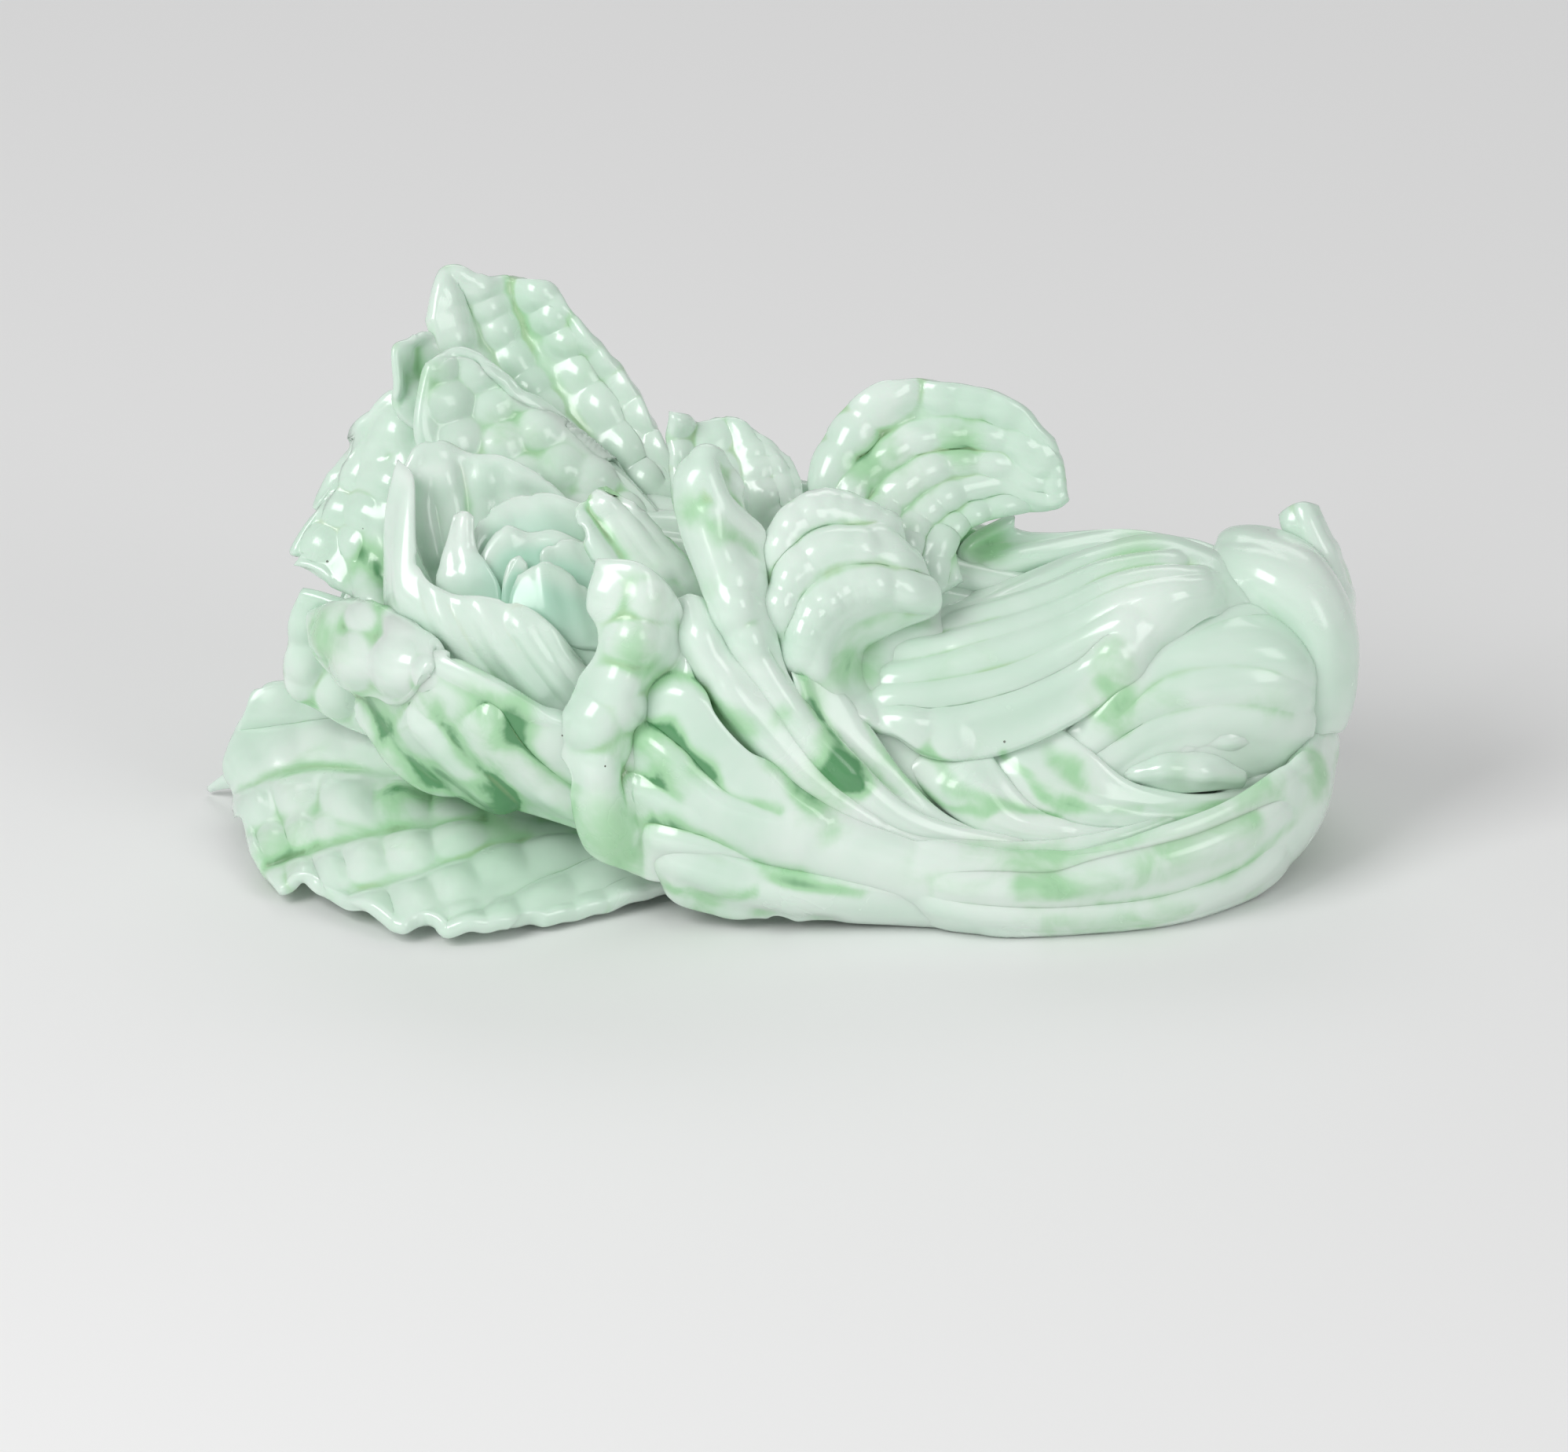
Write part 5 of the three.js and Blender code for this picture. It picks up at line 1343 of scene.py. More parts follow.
# %% The mid back leaf
MID_BACK_PIXELS = [
    [[900, 782, 256], [940, 765, 258], [990, 748, 262], [1010, 765, 258]],
    [[860, 650, 300], [910, 640, 320], [970, 630, 335], [1018, 660, 320]],
    [[850, 570, 335], [900, 570, 365], [960, 575, 375], [1018, 620, 350]],
    [[848, 522, 350], [890, 540, 385], [935, 534, 395], [1002, 588, 372]],
]
MID_BACK_FEATURES = [
    dome(862, 530, 17, 1.8, 1.6), dome(862, 580, 15, 1.2), dome(866, 612, 14, 1.0),
    fold([(885, 535), (892, 600), (905, 660)], 1.5, 18, 1.0, -1),
    ridge([(934, 524), (950, 580), (976, 640)], 4, 0.9),
    ridge([(966, 548), (984, 596), (1000, 645)], 4, 0.8),
    fold([(930, 530), (940, 590), (965, 660)], 1.6, 18, 1.0, -1),
    blister_row([(912, 545), (920, 595), (938, 650)], 3, 15, 1.6, 10),
    blister_row([(955, 560), (975, 605), (992, 655)], 3, 16, 1.8, 11),
    blister_row([(990, 588), (1003, 620), (1012, 655)], 3, 12, 1.3, 12),
]
MID_BACK_BITES = [(890, 522, 12), (918, 528, 5), (936, 522, 6), (956, 534, 5), (975, 552, 6),
                  (990, 572, 5)]
carved_sheet("mid_back_leaf", seen(MID_BACK_PIXELS), LEAF, rule(seed=24),
             MID_BACK_FEATURES, MID_BACK_BITES)

# %% [markdown]
# ## The leaves round the head
# The head lies with its open heart towards the picture. Tall leaves stand behind it, a ribbed leaf
# holds it from below, and one leaf lies spread on the floor. Large lobes of their rims are in the
# sections themselves, and small ones are made by bites, which need no extra sections.

# %% The front left leaf
FRONT_LEFT_PIXELS = [
    [[880, 1090, 110], [872, 1055, 97], [865, 1020, 94], [858, 985, 98], [850, 950, 110]],
    [[740, 1036, 165], [742, 1005, 130], [740, 975, 112], [735, 945, 102], [720, 908, 100]],
    [[620, 1008, 225], [618, 975, 168], [618, 940, 132], [625, 905, 112], [642, 866, 105]],
    [[530, 968, 275], [528, 930, 215], [535, 895, 172], [555, 865, 140], [595, 842, 120]],
    [[462, 885, 320], [475, 862, 265], [498, 842, 215], [530, 830, 172], [575, 836, 132]],
    [[402, 788, 365], [430, 774, 318], [468, 770, 268], [510, 790, 212], [560, 826, 142]],
    [[398, 810, 350], [425, 824, 290], [465, 832, 228], [508, 848, 170], [560, 848, 118]],
    [[408, 836, 346], [432, 864, 297], [470, 887, 236], [518, 896, 174], [552, 864, 115]],
]
FRONT_LEFT_FEATURES = [
    dome(428, 812, 22, 1.4), dome(460, 840, 29, 2.2, 1.1), dome(511, 846, 26, 2.0, 1.25),
    dome(550, 856, 15, 0.8),
    dome(470, 790, 20, 0.9), dome(520, 802, 18, 0.9), dome(430, 785, 18, 0.9),
    fold([(470, 886), (500, 925), (540, 965), (590, 1000)], 2.5, 30),
    fold([(540, 896), (600, 952), (660, 1008)], 2.8, 34),
    fold([(630, 893), (660, 938), (700, 978), (730, 1000), (790, 1030)], 3.0, 34),
    ridge([(630, 895), (660, 940), (700, 980)], 9, -0.6),
    ridge([(570, 842), (620, 868), (690, 900), (760, 905)], 9, 0.7),
]
FRONT_LEFT_BITES = [(410, 860, 13), (482, 902, 12), (560, 892, 14), (470, 762, 8)]
carved_sheet("front_left_leaf", seen(FRONT_LEFT_PIXELS), LEAF, rule(seed=31),
             FRONT_LEFT_FEATURES, FRONT_LEFT_BITES)

# %% The spread leaf
SPREAD_PIXELS = [
    [[900, 1000, 300], [890, 1030, 260], [880, 1060, 220], [870, 1095, 185], [860, 1130, 150]],
    [[760, 960, 400], [745, 1010, 330], [740, 1060, 250], [740, 1110, 165], [745, 1165, 90]],
    [[620, 915, 460], [600, 972, 390], [595, 1038, 285], [600, 1108, 150], [615, 1182, 26]],
    [[480, 872, 490], [462, 942, 425], [455, 1020, 312], [462, 1100, 172], [508, 1180, 30]],
    [[352, 866, 480], [332, 930, 458], [326, 1008, 375], [352, 1082, 245], [415, 1137, 120]],
    [[316, 885, 478], [286, 948, 458], [290, 1010, 420], [312, 1075, 262], [352, 1140, 150]],
]
SPREAD_FEATURES = [
    blister_row([(325, 905), (400, 890), (480, 880), (580, 905)], 4, 22, 1.2, 13, 0.6),
    blister_row([(285, 978), (340, 955), (420, 945), (520, 945), (610, 965)], 6, 22, 1.2, 14, 0.6),
    blister_row([(318, 1040), (380, 1022), (470, 1025), (570, 1028), (690, 1042)], 6, 24, 1.8, 15),
    blister_row([(322, 1085), (365, 1068), (410, 1058)], 2, 18, 1.3, 16),
    blister_row([(365, 1128), (440, 1108), (520, 1088), (620, 1068)], 5, 22, 1.6, 17),
    blister_row([(455, 1165), (520, 1150), (580, 1128), (650, 1098), (740, 1085)], 5, 21, 1.5, 18),
    blister_row([(560, 1178), (640, 1165), (710, 1140), (780, 1110)], 4, 18, 1.2, 19),
    blister_row([(700, 1182), (760, 1160), (830, 1135)], 3, 16, 1.0, 20),
    ridge([(300, 930), (400, 918), (500, 905), (620, 935)], 7, -0.6),
    ridge([(305, 1010), (360, 985), (420, 980), (560, 995), (700, 1020)], 7, -0.6),
    ridge([(340, 1105), (420, 1078), (500, 1062), (640, 1052), (760, 1052)], 7, -0.7),
    ridge([(450, 1140), (510, 1122), (575, 1100), (660, 1078), (760, 1065)], 7, -0.7),
    ridge([(560, 1180), (620, 1160), (700, 1120), (800, 1085)], 7, -0.6),
]
SPREAD_BITES = [(288, 1042, 30), (428, 1180, 42), (545, 1190, 17), (676, 1194, 16), (282, 905, 8),
                (320, 868, 7), (790, 1180, 8)]
carved_sheet("spread_leaf", seen(SPREAD_PIXELS), LEAF, rule(seed=32),
             SPREAD_FEATURES, SPREAD_BITES)

# %% The spike beside the spread leaf
SPREAD_SPIKE_PIXELS = [
    [[380, 950, 420], [380, 985, 400], [380, 1020, 370]],
    [[310, 965, 445], [312, 985, 435], [315, 1008, 425]],
    [[280, 985, 462], [282, 994, 460], [285, 1004, 458]],
    [[257, 1002, 478], [258, 1006, 478], [260, 1009, 478]],
]
carved_sheet("spread_leaf", seen(SPREAD_SPIKE_PIXELS), PETAL, ending="_spike")

# %% The left low leaf
LEFT_LOW_PIXELS = [
    [[560, 760, 330], [570, 850, 340], [560, 930, 360]],
    [[470, 770, 350], [460, 840, 370], [460, 930, 390]],
    [[400, 752, 375], [395, 830, 390], [400, 900, 400]],
    [[374, 748, 388], [368, 815, 400], [350, 875, 415]],
]
LEFT_LOW_FEATURES = [
    dome(388, 792, 22, 1.2), dome(385, 838, 24, 1.3), dome(368, 872, 18, 1.0),
    dome(430, 880, 26, 1.2),
    dome(480, 905, 26, 1.1), fold([(408, 765), (402, 830), (397, 885)], 0.8, 20),
]
LEFT_LOW_BITES = [(362, 820, 6), (345, 845, 6)]
LEFT_LOW_RIM = dict(tip_round=0.07)
carved_sheet("left_low_leaf", seen(LEFT_LOW_PIXELS), LEAF, rule(seed=34),
             LEFT_LOW_FEATURES, LEFT_LOW_BITES, LEFT_LOW_RIM)

# %% The left scalloped leaf
LEFT_SCALLOPED_PIXELS = [
    [[620, 650, 420], [610, 710, 385], [590, 780, 345], [560, 830, 310]],
    [[540, 540, 445], [495, 645, 400], [477, 730, 360], [490, 785, 300]],
    [[503, 496, 468], [462, 608, 442], [440, 690, 402], [455, 762, 340]],
    [[464, 524, 469], [440, 614, 446], [414, 688, 411], [434, 752, 360]],
    [[454, 551, 463], [425, 630, 440], [400, 694, 410], [418, 740, 370]],
    [[441, 578, 455], [409, 644, 434], [387, 700, 409], [404, 729, 380]],
    [[429, 596, 447], [396, 653, 429], [377, 706, 406], [392, 723, 389]],
    [[420, 609, 441], [386, 662, 425], [367, 711, 402], [378, 722, 396]],
]
LEFT_SCALLOPED_FEATURES = [
    dome(502, 550, 24, 1.5), dome(480, 576, 18, 1.3), dome(458, 606, 21, 1.5),
    dome(434, 650, 22, 1.5),
    dome(410, 692, 22, 1.4), dome(490, 612, 20, 1.5), dome(466, 652, 20, 1.5),
    dome(452, 690, 16, 1.0),
    fold([(515, 560), (490, 640), (468, 710), (470, 790)], 1.2, 26, 1.0, -1),
    ridge([(470, 700), (440, 750), (425, 790)], 12, -0.7),
    blister_row([(540, 570), (510, 640), (497, 700), (500, 760)], 5, 13, 0.9, 21),
]
LEFT_SCALLOPED_RIM = dict(lobes=(5, 0), notch=0.08, tip_lobes=2, start=0.2, seed=35)
carved_sheet("left_scalloped_leaf", seen(LEFT_SCALLOPED_PIXELS), LEAF, rule(seed=35),
             LEFT_SCALLOPED_FEATURES, rim=LEFT_SCALLOPED_RIM)

# %% The second back leaf
SECOND_BACK_PIXELS = [
    [[700, 760, 300], [780, 760, 330], [850, 740, 360], [880, 710, 380]],
    [[600, 680, 350], [700, 650, 390], [790, 640, 410], [852, 665, 400]],
    [[550, 610, 380], [640, 570, 430], [730, 560, 450], [792, 600, 430]],
    [[530, 550, 400], [595, 520, 450], [660, 510, 470], [707, 525, 460]],
    [[540, 480, 430], [565, 460, 460], [600, 455, 470], [645, 480, 460]],
    [[548, 455, 440], [565, 449, 455], [590, 452, 462], [620, 461, 460]],
]
SECOND_BACK_FEATURES = [
    dome(572, 512, 26, 1.4), dome(605, 478, 22, 1.0), dome(627, 520, 24, 1.3),
    dome(640, 565, 25, 1.4),
    dome(684, 550, 25, 1.4), dome(585, 560, 24, 1.1), dome(712, 597, 25, 1.4),
    dome(758, 612, 24, 1.3),
    dome(562, 470, 18, 0.9), dome(668, 605, 22, 1.1), dome(795, 655, 22, 1.2),
    dome(745, 655, 22, 1.1),
    dome(832, 690, 20, 1.0), dome(790, 700, 20, 0.9), dome(660, 505, 20, 1.0),
    dome(615, 605, 20, 0.9),
    ridge([(548, 452), (600, 447), (638, 474), (684, 503), (756, 559), (832, 632), (893, 715)],
          8, 0.5),
]
carved_sheet("second_back_leaf", seen(SECOND_BACK_PIXELS), LEAF, rule(seed=36),
             SECOND_BACK_FEATURES)

# %% The back fold leaf
BACK_FOLD_PIXELS = [
    [[625, 615, 440], [628, 565, 468], [640, 520, 490]],
    [[548, 560, 425], [552, 495, 478], [562, 435, 510]],
    [[512, 535, 432], [513, 470, 470], [537, 422, 500]],
    [[500, 505, 436], [498, 445, 455], [522, 427, 485]],
]
BACK_FOLD_FEATURES = [
    ridge([(500, 495), (502, 460), (515, 435), (540, 420)], 9, 0.9), dome(525, 480, 20, -0.6),
    ridge([(520, 520), (545, 500), (570, 480)], 8, 0.7),
    ridge([(512, 450), (522, 485), (545, 520)], 6, 0.6),
    ridge([(528, 440), (536, 480), (556, 505)], 5, -0.5),
]
carved_sheet("back_fold_leaf", seen(BACK_FOLD_PIXELS), PETAL, features=BACK_FOLD_FEATURES)

# %% The tall back leaf
TALL_BACK_PIXELS = [
    [[820, 740, 380], [838, 725, 392], [856, 710, 404], [872, 697, 414], [890, 680, 424],
     [905, 665, 430]],
    [[700, 640, 430], [730, 615, 452], [765, 588, 472], [800, 562, 488], [828, 562, 486],
     [852, 572, 480]],
    [[620, 560, 470], [655, 530, 500], [692, 498, 525], [738, 470, 539], [778, 474, 532],
     [808, 486, 520]],
    [[566, 492, 492], [590, 452, 528], [622, 428, 553], [660, 408, 568], [702, 398, 567],
     [744, 411, 552]],
    [[544, 402, 512], [553, 352, 547], [577, 336, 564], [612, 352, 578], [655, 349, 588],
     [702, 378, 576]],
]
TALL_BACK_FEATURES = [
    blister_row([(572, 356), (570, 400), (576, 440), (596, 486)], 4, 19, 2.6, 22, 0.6),
    blister_row([(603, 355), (622, 400), (650, 455), (690, 520), (745, 600)], 7, 22, 2.1, 23, 0.6),
    blister_row([(680, 368), (714, 420), (747, 480), (792, 550), (835, 620)], 7, 20, 2.0, 24, 0.7),
    blister_row([(742, 425), (782, 470), (822, 525), (858, 590)], 5, 17, 1.7, 25, 0.7),
    ridge([(568, 345), (585, 372), (600, 395), (625, 440), (660, 500)], 10, -1.1),
    ridge([(652, 360), (668, 440), (705, 505), (760, 590)], 9, -0.9),
    ridge([(718, 400), (745, 450), (790, 530), (840, 610)], 8, -0.9),
]
TALL_BACK_BITES = [(655, 342, 7), (712, 378, 8), (606, 336, 9), (538, 384, 5)]
carved_sheet("tall_back_leaf", seen(TALL_BACK_PIXELS), STALK, rule(seed=38),
             TALL_BACK_FEATURES, TALL_BACK_BITES)

# %% [markdown]
# ## The heart
# The petals in the middle of the head stand round each other like a rose. They are thin, nearly
# smooth, and end in torn, pointed rims that are whiter than the stone below. Each one is a sheet of
# its own, because one lump with grooves wouldn't leave the shaded gaps between them.

# %% The front outer petal
OUTER_PETAL_FRONT_PIXELS = [
    [[640, 930, 175], [660, 938, 165], [685, 945, 155], [712, 950, 149], [745, 950, 148],
     [775, 944, 151], [800, 932, 155]],
    [[540, 862, 215], [565, 875, 180], [595, 888, 158], [640, 898, 145], [690, 906, 136],
     [740, 910, 139], [786, 910, 145]],
    [[503, 782, 268], [520, 794, 224], [545, 810, 196], [590, 828, 164], [650, 842, 143],
     [712, 860, 139], [778, 884, 143]],
    [[497, 690, 292], [507, 725, 240], [527, 765, 203], [575, 792, 174], [634, 800, 158],
     [694, 820, 147], [752, 862, 147]],
    [[514, 578, 334], [531, 614, 296], [539, 722, 226], [578, 756, 193], [630, 762, 176],
     [688, 780, 161], [742, 842, 152]],
]
OUTER_FRONT_FEATURES = [
    fold([(545, 735), (570, 800), (620, 862)], 1.7, 24, 0.5, -1),
    fold([(600, 762), (640, 830), (690, 895)], 2.0, 22, 0.5, -1),
    fold([(652, 788), (690, 845), (740, 905)], 2.1, 22, 0.5, -1),
    fold([(690, 795), (722, 845), (762, 900)], 1.5, 18, 0.5, -1),
    ridge([(575, 770), (610, 830), (660, 890)], 7, -0.7),
    fold([(520, 620), (512, 690), (516, 770)], 0.75, 20, 1.0, -1),
]
OUTER_FRONT_BITES = [(590, 742, 7), (652, 760, 7), (700, 778, 5), (540, 715, 6)]
OUTER_FRONT_RIM = dict(ruffle=0.5, start=0.6, seed=41)
# How much whiter a petal's rim is, and how much stronger the painted teal shade is below it
PETAL_WHITE_AND_SHADE = 0.8
carved_sheet("outer_petal_front", seen(OUTER_PETAL_FRONT_PIXELS), PETAL, rule(seed=41),
             OUTER_FRONT_FEATURES, OUTER_FRONT_BITES, OUTER_FRONT_RIM, white_rim_and_shade=PETAL_WHITE_AND_SHADE)

# %% The back outer petal
OUTER_PETAL_BACK_PIXELS = [
    [[565, 765, 285], [584, 768, 280], [606, 770, 276], [632, 766, 276], [660, 760, 280],
     [694, 755, 285], [727, 752, 290]],
    [[533, 700, 314], [556, 700, 316], [584, 700, 319], [616, 694, 326], [652, 690, 330],
     [694, 690, 326], [735, 695, 321]],
    [[519, 632, 340], [542, 622, 346], [572, 622, 352], [606, 628, 359], [648, 630, 362],
     [692, 648, 355], [734, 668, 344]],
    [[515, 594, 352], [532, 568, 366], [566, 562, 374], [602, 578, 378], [642, 581, 378],
     [692, 606, 366], [728, 640, 350]],
]
OUTER_BACK_FEATURES = [
    fold([(545, 600), (548, 650), (560, 720)], 1.2, 18),
    fold([(575, 590), (585, 640), (590, 720)], 1.2, 18),
    fold([(618, 590), (622, 630), (628, 680)], 0.9, 18),
    fold([(664, 600), (668, 630), (672, 680)], 0.8, 16),
    dome(560, 610, 20, 0.8, 1.5), dome(622, 612, 20, 0.7), dome(660, 612, 16, 0.6),
    ridge([(528, 590), (545, 576), (590, 583), (640, 592), (690, 618)], 6, 0.5),
]
OUTER_BACK_BITES = [(552, 556, 6), (604, 566, 6), (652, 574, 6), (700, 606, 5)]
OUTER_BACK_RIM = dict(ruffle=0.6, start=0.6, seed=42)
carved_sheet("outer_petal_back", seen(OUTER_PETAL_BACK_PIXELS), PETAL,
             rule(ridges=3, ridge_height=0.4, seed=42, swell=0.3),
             OUTER_BACK_FEATURES, OUTER_BACK_BITES, OUTER_BACK_RIM, white_rim_and_shade=PETAL_WHITE_AND_SHADE)

# %% The spike petal
SPIKE_PETAL_PIXELS = [
    [[575, 800, 210], [605, 810, 200], [645, 800, 200]],
    [[560, 748, 225], [600, 745, 215], [641, 752, 216]],
    [[564, 722, 237], [594, 718, 229], [626, 722, 224]],
    [[568, 704, 243], [590, 700, 238], [614, 708, 236]],
    [[575, 682, 251], [591, 678, 246], [608, 686, 242]],
    [[582, 656, 259], [595, 652, 256], [607, 658, 252]],
]
SPIKE_FEATURES = [
    ridge([(594, 664), (594, 710), (600, 750)], 6, 0.6), fold([(606, 700), (614, 740)], 0.7, 10),
    ridge([(575, 712), (578, 745), (590, 780)], 6, 0.4),
]
SPIKE_BITES = [(596, 648, 3)]
SPIKE_RIM = dict(ruffle=0.3, seed=43)
carved_sheet("spike_petal", seen(SPIKE_PETAL_PIXELS), HEART, None,
             SPIKE_FEATURES, SPIKE_BITES, SPIKE_RIM, white_rim_and_shade=PETAL_WHITE_AND_SHADE)

# %% The ring petal
RING_PETAL_PIXELS = [
    [[612, 750, 236], [626, 730, 249], [646, 712, 260], [672, 702, 268], [706, 700, 270],
     [750, 716, 270]],
    [[606, 716, 251], [613, 696, 268], [638, 672, 287], [664, 662, 298], [704, 658, 301],
     [756, 674, 292]],
    [[605, 702, 261], [608, 674, 280], [628, 650, 300], [660, 633, 313], [702, 629, 317],
     [747, 644, 300]],
]
RING_FEATURES = [
    ridge([(610, 690), (640, 655), (700, 643), (745, 655)], 6, 0.5), dome(640, 672, 16, 0.6),
    dome(690, 652, 16, 0.5), fold([(665, 640), (672, 660), (690, 680)], 0.7, 14),
]
RING_BITES = [(618, 654, 6), (676, 626, 6)]
RING_RIM = dict(ruffle=0.6, waves=8, seed=44)
carved_sheet("ring_petal", seen(RING_PETAL_PIXELS), HEART, None,
             RING_FEATURES, RING_BITES, RING_RIM, white_rim_and_shade=PETAL_WHITE_AND_SHADE)

# %% The inner ring petal
INNER_RING_PETAL_PIXELS = [
    [[630, 792, 215], [643, 775, 220], [662, 763, 226], [690, 757, 232], [720, 755, 235],
     [764, 764, 231]],
    [[624, 758, 222], [636, 738, 233], [657, 726, 241], [684, 720, 248], [714, 719, 249],
     [758, 738, 245]],
    [[614, 710, 244], [627, 688, 258], [646, 671, 270], [676, 679, 274], [708, 676, 276],
     [748, 692, 264]],
]
INNER_RING_FEATURES = [ridge([(620, 704), (650, 684), (704, 688), (745, 704)], 5, 0.4)]
INNER_RING_BITES = [(636, 670, 5), (690, 668, 6)]
INNER_RING_RIM = dict(RING_RIM, seed=45)
carved_sheet("inner_ring_petal", seen(INNER_RING_PETAL_PIXELS), HEART, None,
             INNER_RING_FEATURES, INNER_RING_BITES, INNER_RING_RIM, white_rim_and_shade=PETAL_WHITE_AND_SHADE)

# %% The left heart petal
HEART_LEFT_PIXELS = [
    [[640, 790, 200], [665, 780, 205], [690, 775, 205]],
    [[643, 745, 216], [658, 722, 226], [678, 735, 222]],
    [[650, 725, 222], [663, 709, 230], [674, 718, 226]],
]
carved_sheet("heart_petal_left", seen(HEART_LEFT_PIXELS), HEART, white_rim_and_shade=PETAL_WHITE_AND_SHADE)

# %% The front heart petal
HEART_FRONT_PIXELS = [
    [[650, 815, 172], [705, 825, 162], [775, 830, 165]],
    [[652, 765, 195], [702, 778, 180], [775, 800, 180]],
    [[663, 733, 212], [703, 717, 212], [752, 752, 212]],
]
HEART_FRONT_FEATURES = [
    ridge([(690, 722), (700, 760), (715, 800)], 5, 0.6),
    ridge([(728, 742), (735, 780), (745, 810)], 5, 0.6),
]
HEART_FRONT_BITES = [(685, 716, 4), (712, 714, 5), (740, 740, 5)]
carved_sheet("heart_petal_front", seen(HEART_FRONT_PIXELS), HEART, None,
             HEART_FRONT_FEATURES, HEART_FRONT_BITES, white_rim_and_shade=PETAL_WHITE_AND_SHADE)

# %% The right heart petal
HEART_RIGHT_PIXELS = [
    [[700, 790, 222], [735, 792, 218], [780, 790, 212]],
    [[690, 715, 245], [718, 705, 252], [772, 715, 245]],
    [[695, 698, 252], [722, 688, 260], [766, 690, 262]],
]
HEART_RIGHT_FEATURES = [ridge([(720, 700), (728, 730), (738, 770)], 5, 0.5)]
HEART_RIGHT_BITES = [(706, 690, 5), (744, 686, 6)]
carved_sheet("heart_petal_right", seen(HEART_RIGHT_PIXELS), HEART, None,
             HEART_RIGHT_FEATURES, HEART_RIGHT_BITES, white_rim_and_shade=PETAL_WHITE_AND_SHADE)

# %% The low heart petal
HEART_LOW_PIXELS = [
    [[640, 850, 160], [700, 868, 150], [780, 885, 152]],
    [[640, 800, 178], [695, 815, 165], [778, 842, 166]],
    [[640, 768, 196], [690, 774, 182], [772, 815, 176]],
]
HEART_LOW_FEATURES = [
    ridge([(668, 780), (690, 820), (715, 860)], 6, 0.6),
    ridge([(710, 798), (730, 835), (750, 870)], 6, 0.6),
]
HEART_LOW_BITES = [(668, 764, 5), (704, 776, 4), (738, 794, 6)]
carved_sheet("heart_petal_low", seen(HEART_LOW_PIXELS), HEART, None,
             HEART_LOW_FEATURES, HEART_LOW_BITES, white_rim_and_shade=PETAL_WHITE_AND_SHADE)

# %% The jagged petal
JAGGED_PETAL_PIXELS = [
    [[850, 860, 195], [900, 850, 225], [935, 825, 250]],
    [[795, 778, 205], [850, 762, 218], [905, 752, 230]],
    [[750, 707, 230], [805, 697, 250], [866, 702, 260]],
    [[736, 668, 255], [770, 648, 280], [812, 652, 288]],
    [[735, 646, 266], [752, 632, 285], [768, 617, 296]],
]
JAGGED_FEATURES = [
    ridge([(757, 628), (800, 672), (850, 730)], 5, 0.9),
    ridge([(795, 640), (835, 690), (875, 740)], 5, 0.8),
    ridge([(748, 650), (790, 700), (840, 760)], 4, -0.7),
    ridge([(778, 632), (820, 684), (866, 744)], 4, -0.7),
    ridge([(742, 672), (784, 730), (828, 790)], 4, 0.6), dome(770, 645, 14, 0.8),
    dome(806, 655, 12, 0.8),
    fold([(757, 640), (785, 690), (830, 760), (880, 840)], 1.26, 18, 1.0, -1),
    fold([(782, 640), (815, 690), (860, 740)], 1.26, 18, 1.0, -1),
    ridge([(740, 665), (770, 715), (810, 780)], 8, 0.6),
]
JAGGED_BITES = [(744, 634, 5), (780, 628, 7), (812, 652, 6), (738, 684, 8), (760, 726, 7),
                (848, 684, 6)]
carved_sheet("jagged_petal", seen(JAGGED_PETAL_PIXELS), PETAL, rule(seed=50),
             JAGGED_FEATURES, JAGGED_BITES)

# %% [markdown]
# ## The leaves at the back
# The picture doesn't reach the back. A carving like this is finished all round, so the back has
# outer leaves of the same kind: ribbed stalks from the root end that open into blistered blades.
# They are laid out by shares of the whole size, and a rule gives them their ridges, veins and
# blisters, because nothing there could be read off the picture.

# %% The rear stalk leaf
REAR_STALK_SHARES = [
    [[0.975, 0.5, 0.16], [0.98, 0.56, 0.19], [0.97, 0.6, 0.25], [0.955, 0.58, 0.3]],
    [[0.925, 0.7, 0.02], [0.935, 0.78, 0.09], [0.93, 0.79, 0.19], [0.92, 0.71, 0.28]],
    [[0.82, 0.85, 0.01], [0.82, 0.93, 0.08], [0.82, 0.92, 0.19], [0.82, 0.83, 0.27]],
    [[0.66, 0.91, 0.01], [0.66, 0.98, 0.09], [0.66, 0.96, 0.21], [0.66, 0.86, 0.3]],
    [[0.5, 0.91, 0.01], [0.49, 0.98, 0.1], [0.48, 0.96, 0.24], [0.47, 0.86, 0.35]],
    [[0.36, 0.93, 0.01], [0.34, 0.98, 0.1], [0.32, 0.97, 0.26], [0.31, 0.9, 0.42]],
    [[0.25, 0.96, 0.01], [0.22, 0.98, 0.1], [0.19, 0.98, 0.26], [0.18, 0.97, 0.43]],
    [[0.17, 0.98, 0.02], [0.13, 0.97, 0.1], [0.12, 0.97, 0.22], [0.125, 0.98, 0.36]],
    [[0.13, 0.97, 0.05], [0.105, 0.97, 0.1], [0.1, 0.97, 0.18], [0.105, 0.98, 0.27]],
]
REAR_STALK_RULE = rule(ridges=5, ridge_height=1.4, lanes=5, cells=11, blister=1.6,
                       change=(0.5, 0.75), seed=61, bend=0.1)
REAR_RIM = dict(ruffle=0.5, notch=0.05, lobes=(4, 4), tip_lobes=2, tip_round=0.09, start=0.45)
REAR_STALK_RIM = dict(REAR_RIM, ruffle=0.8, waves=7, lobes=(0, 7), start=0.5, seed=6)
carved_sheet("rear_stalk_leaf", hidden(REAR_STALK_SHARES), STALK, REAR_STALK_RULE,
             rim=REAR_STALK_RIM, side=BACK_SIDE)

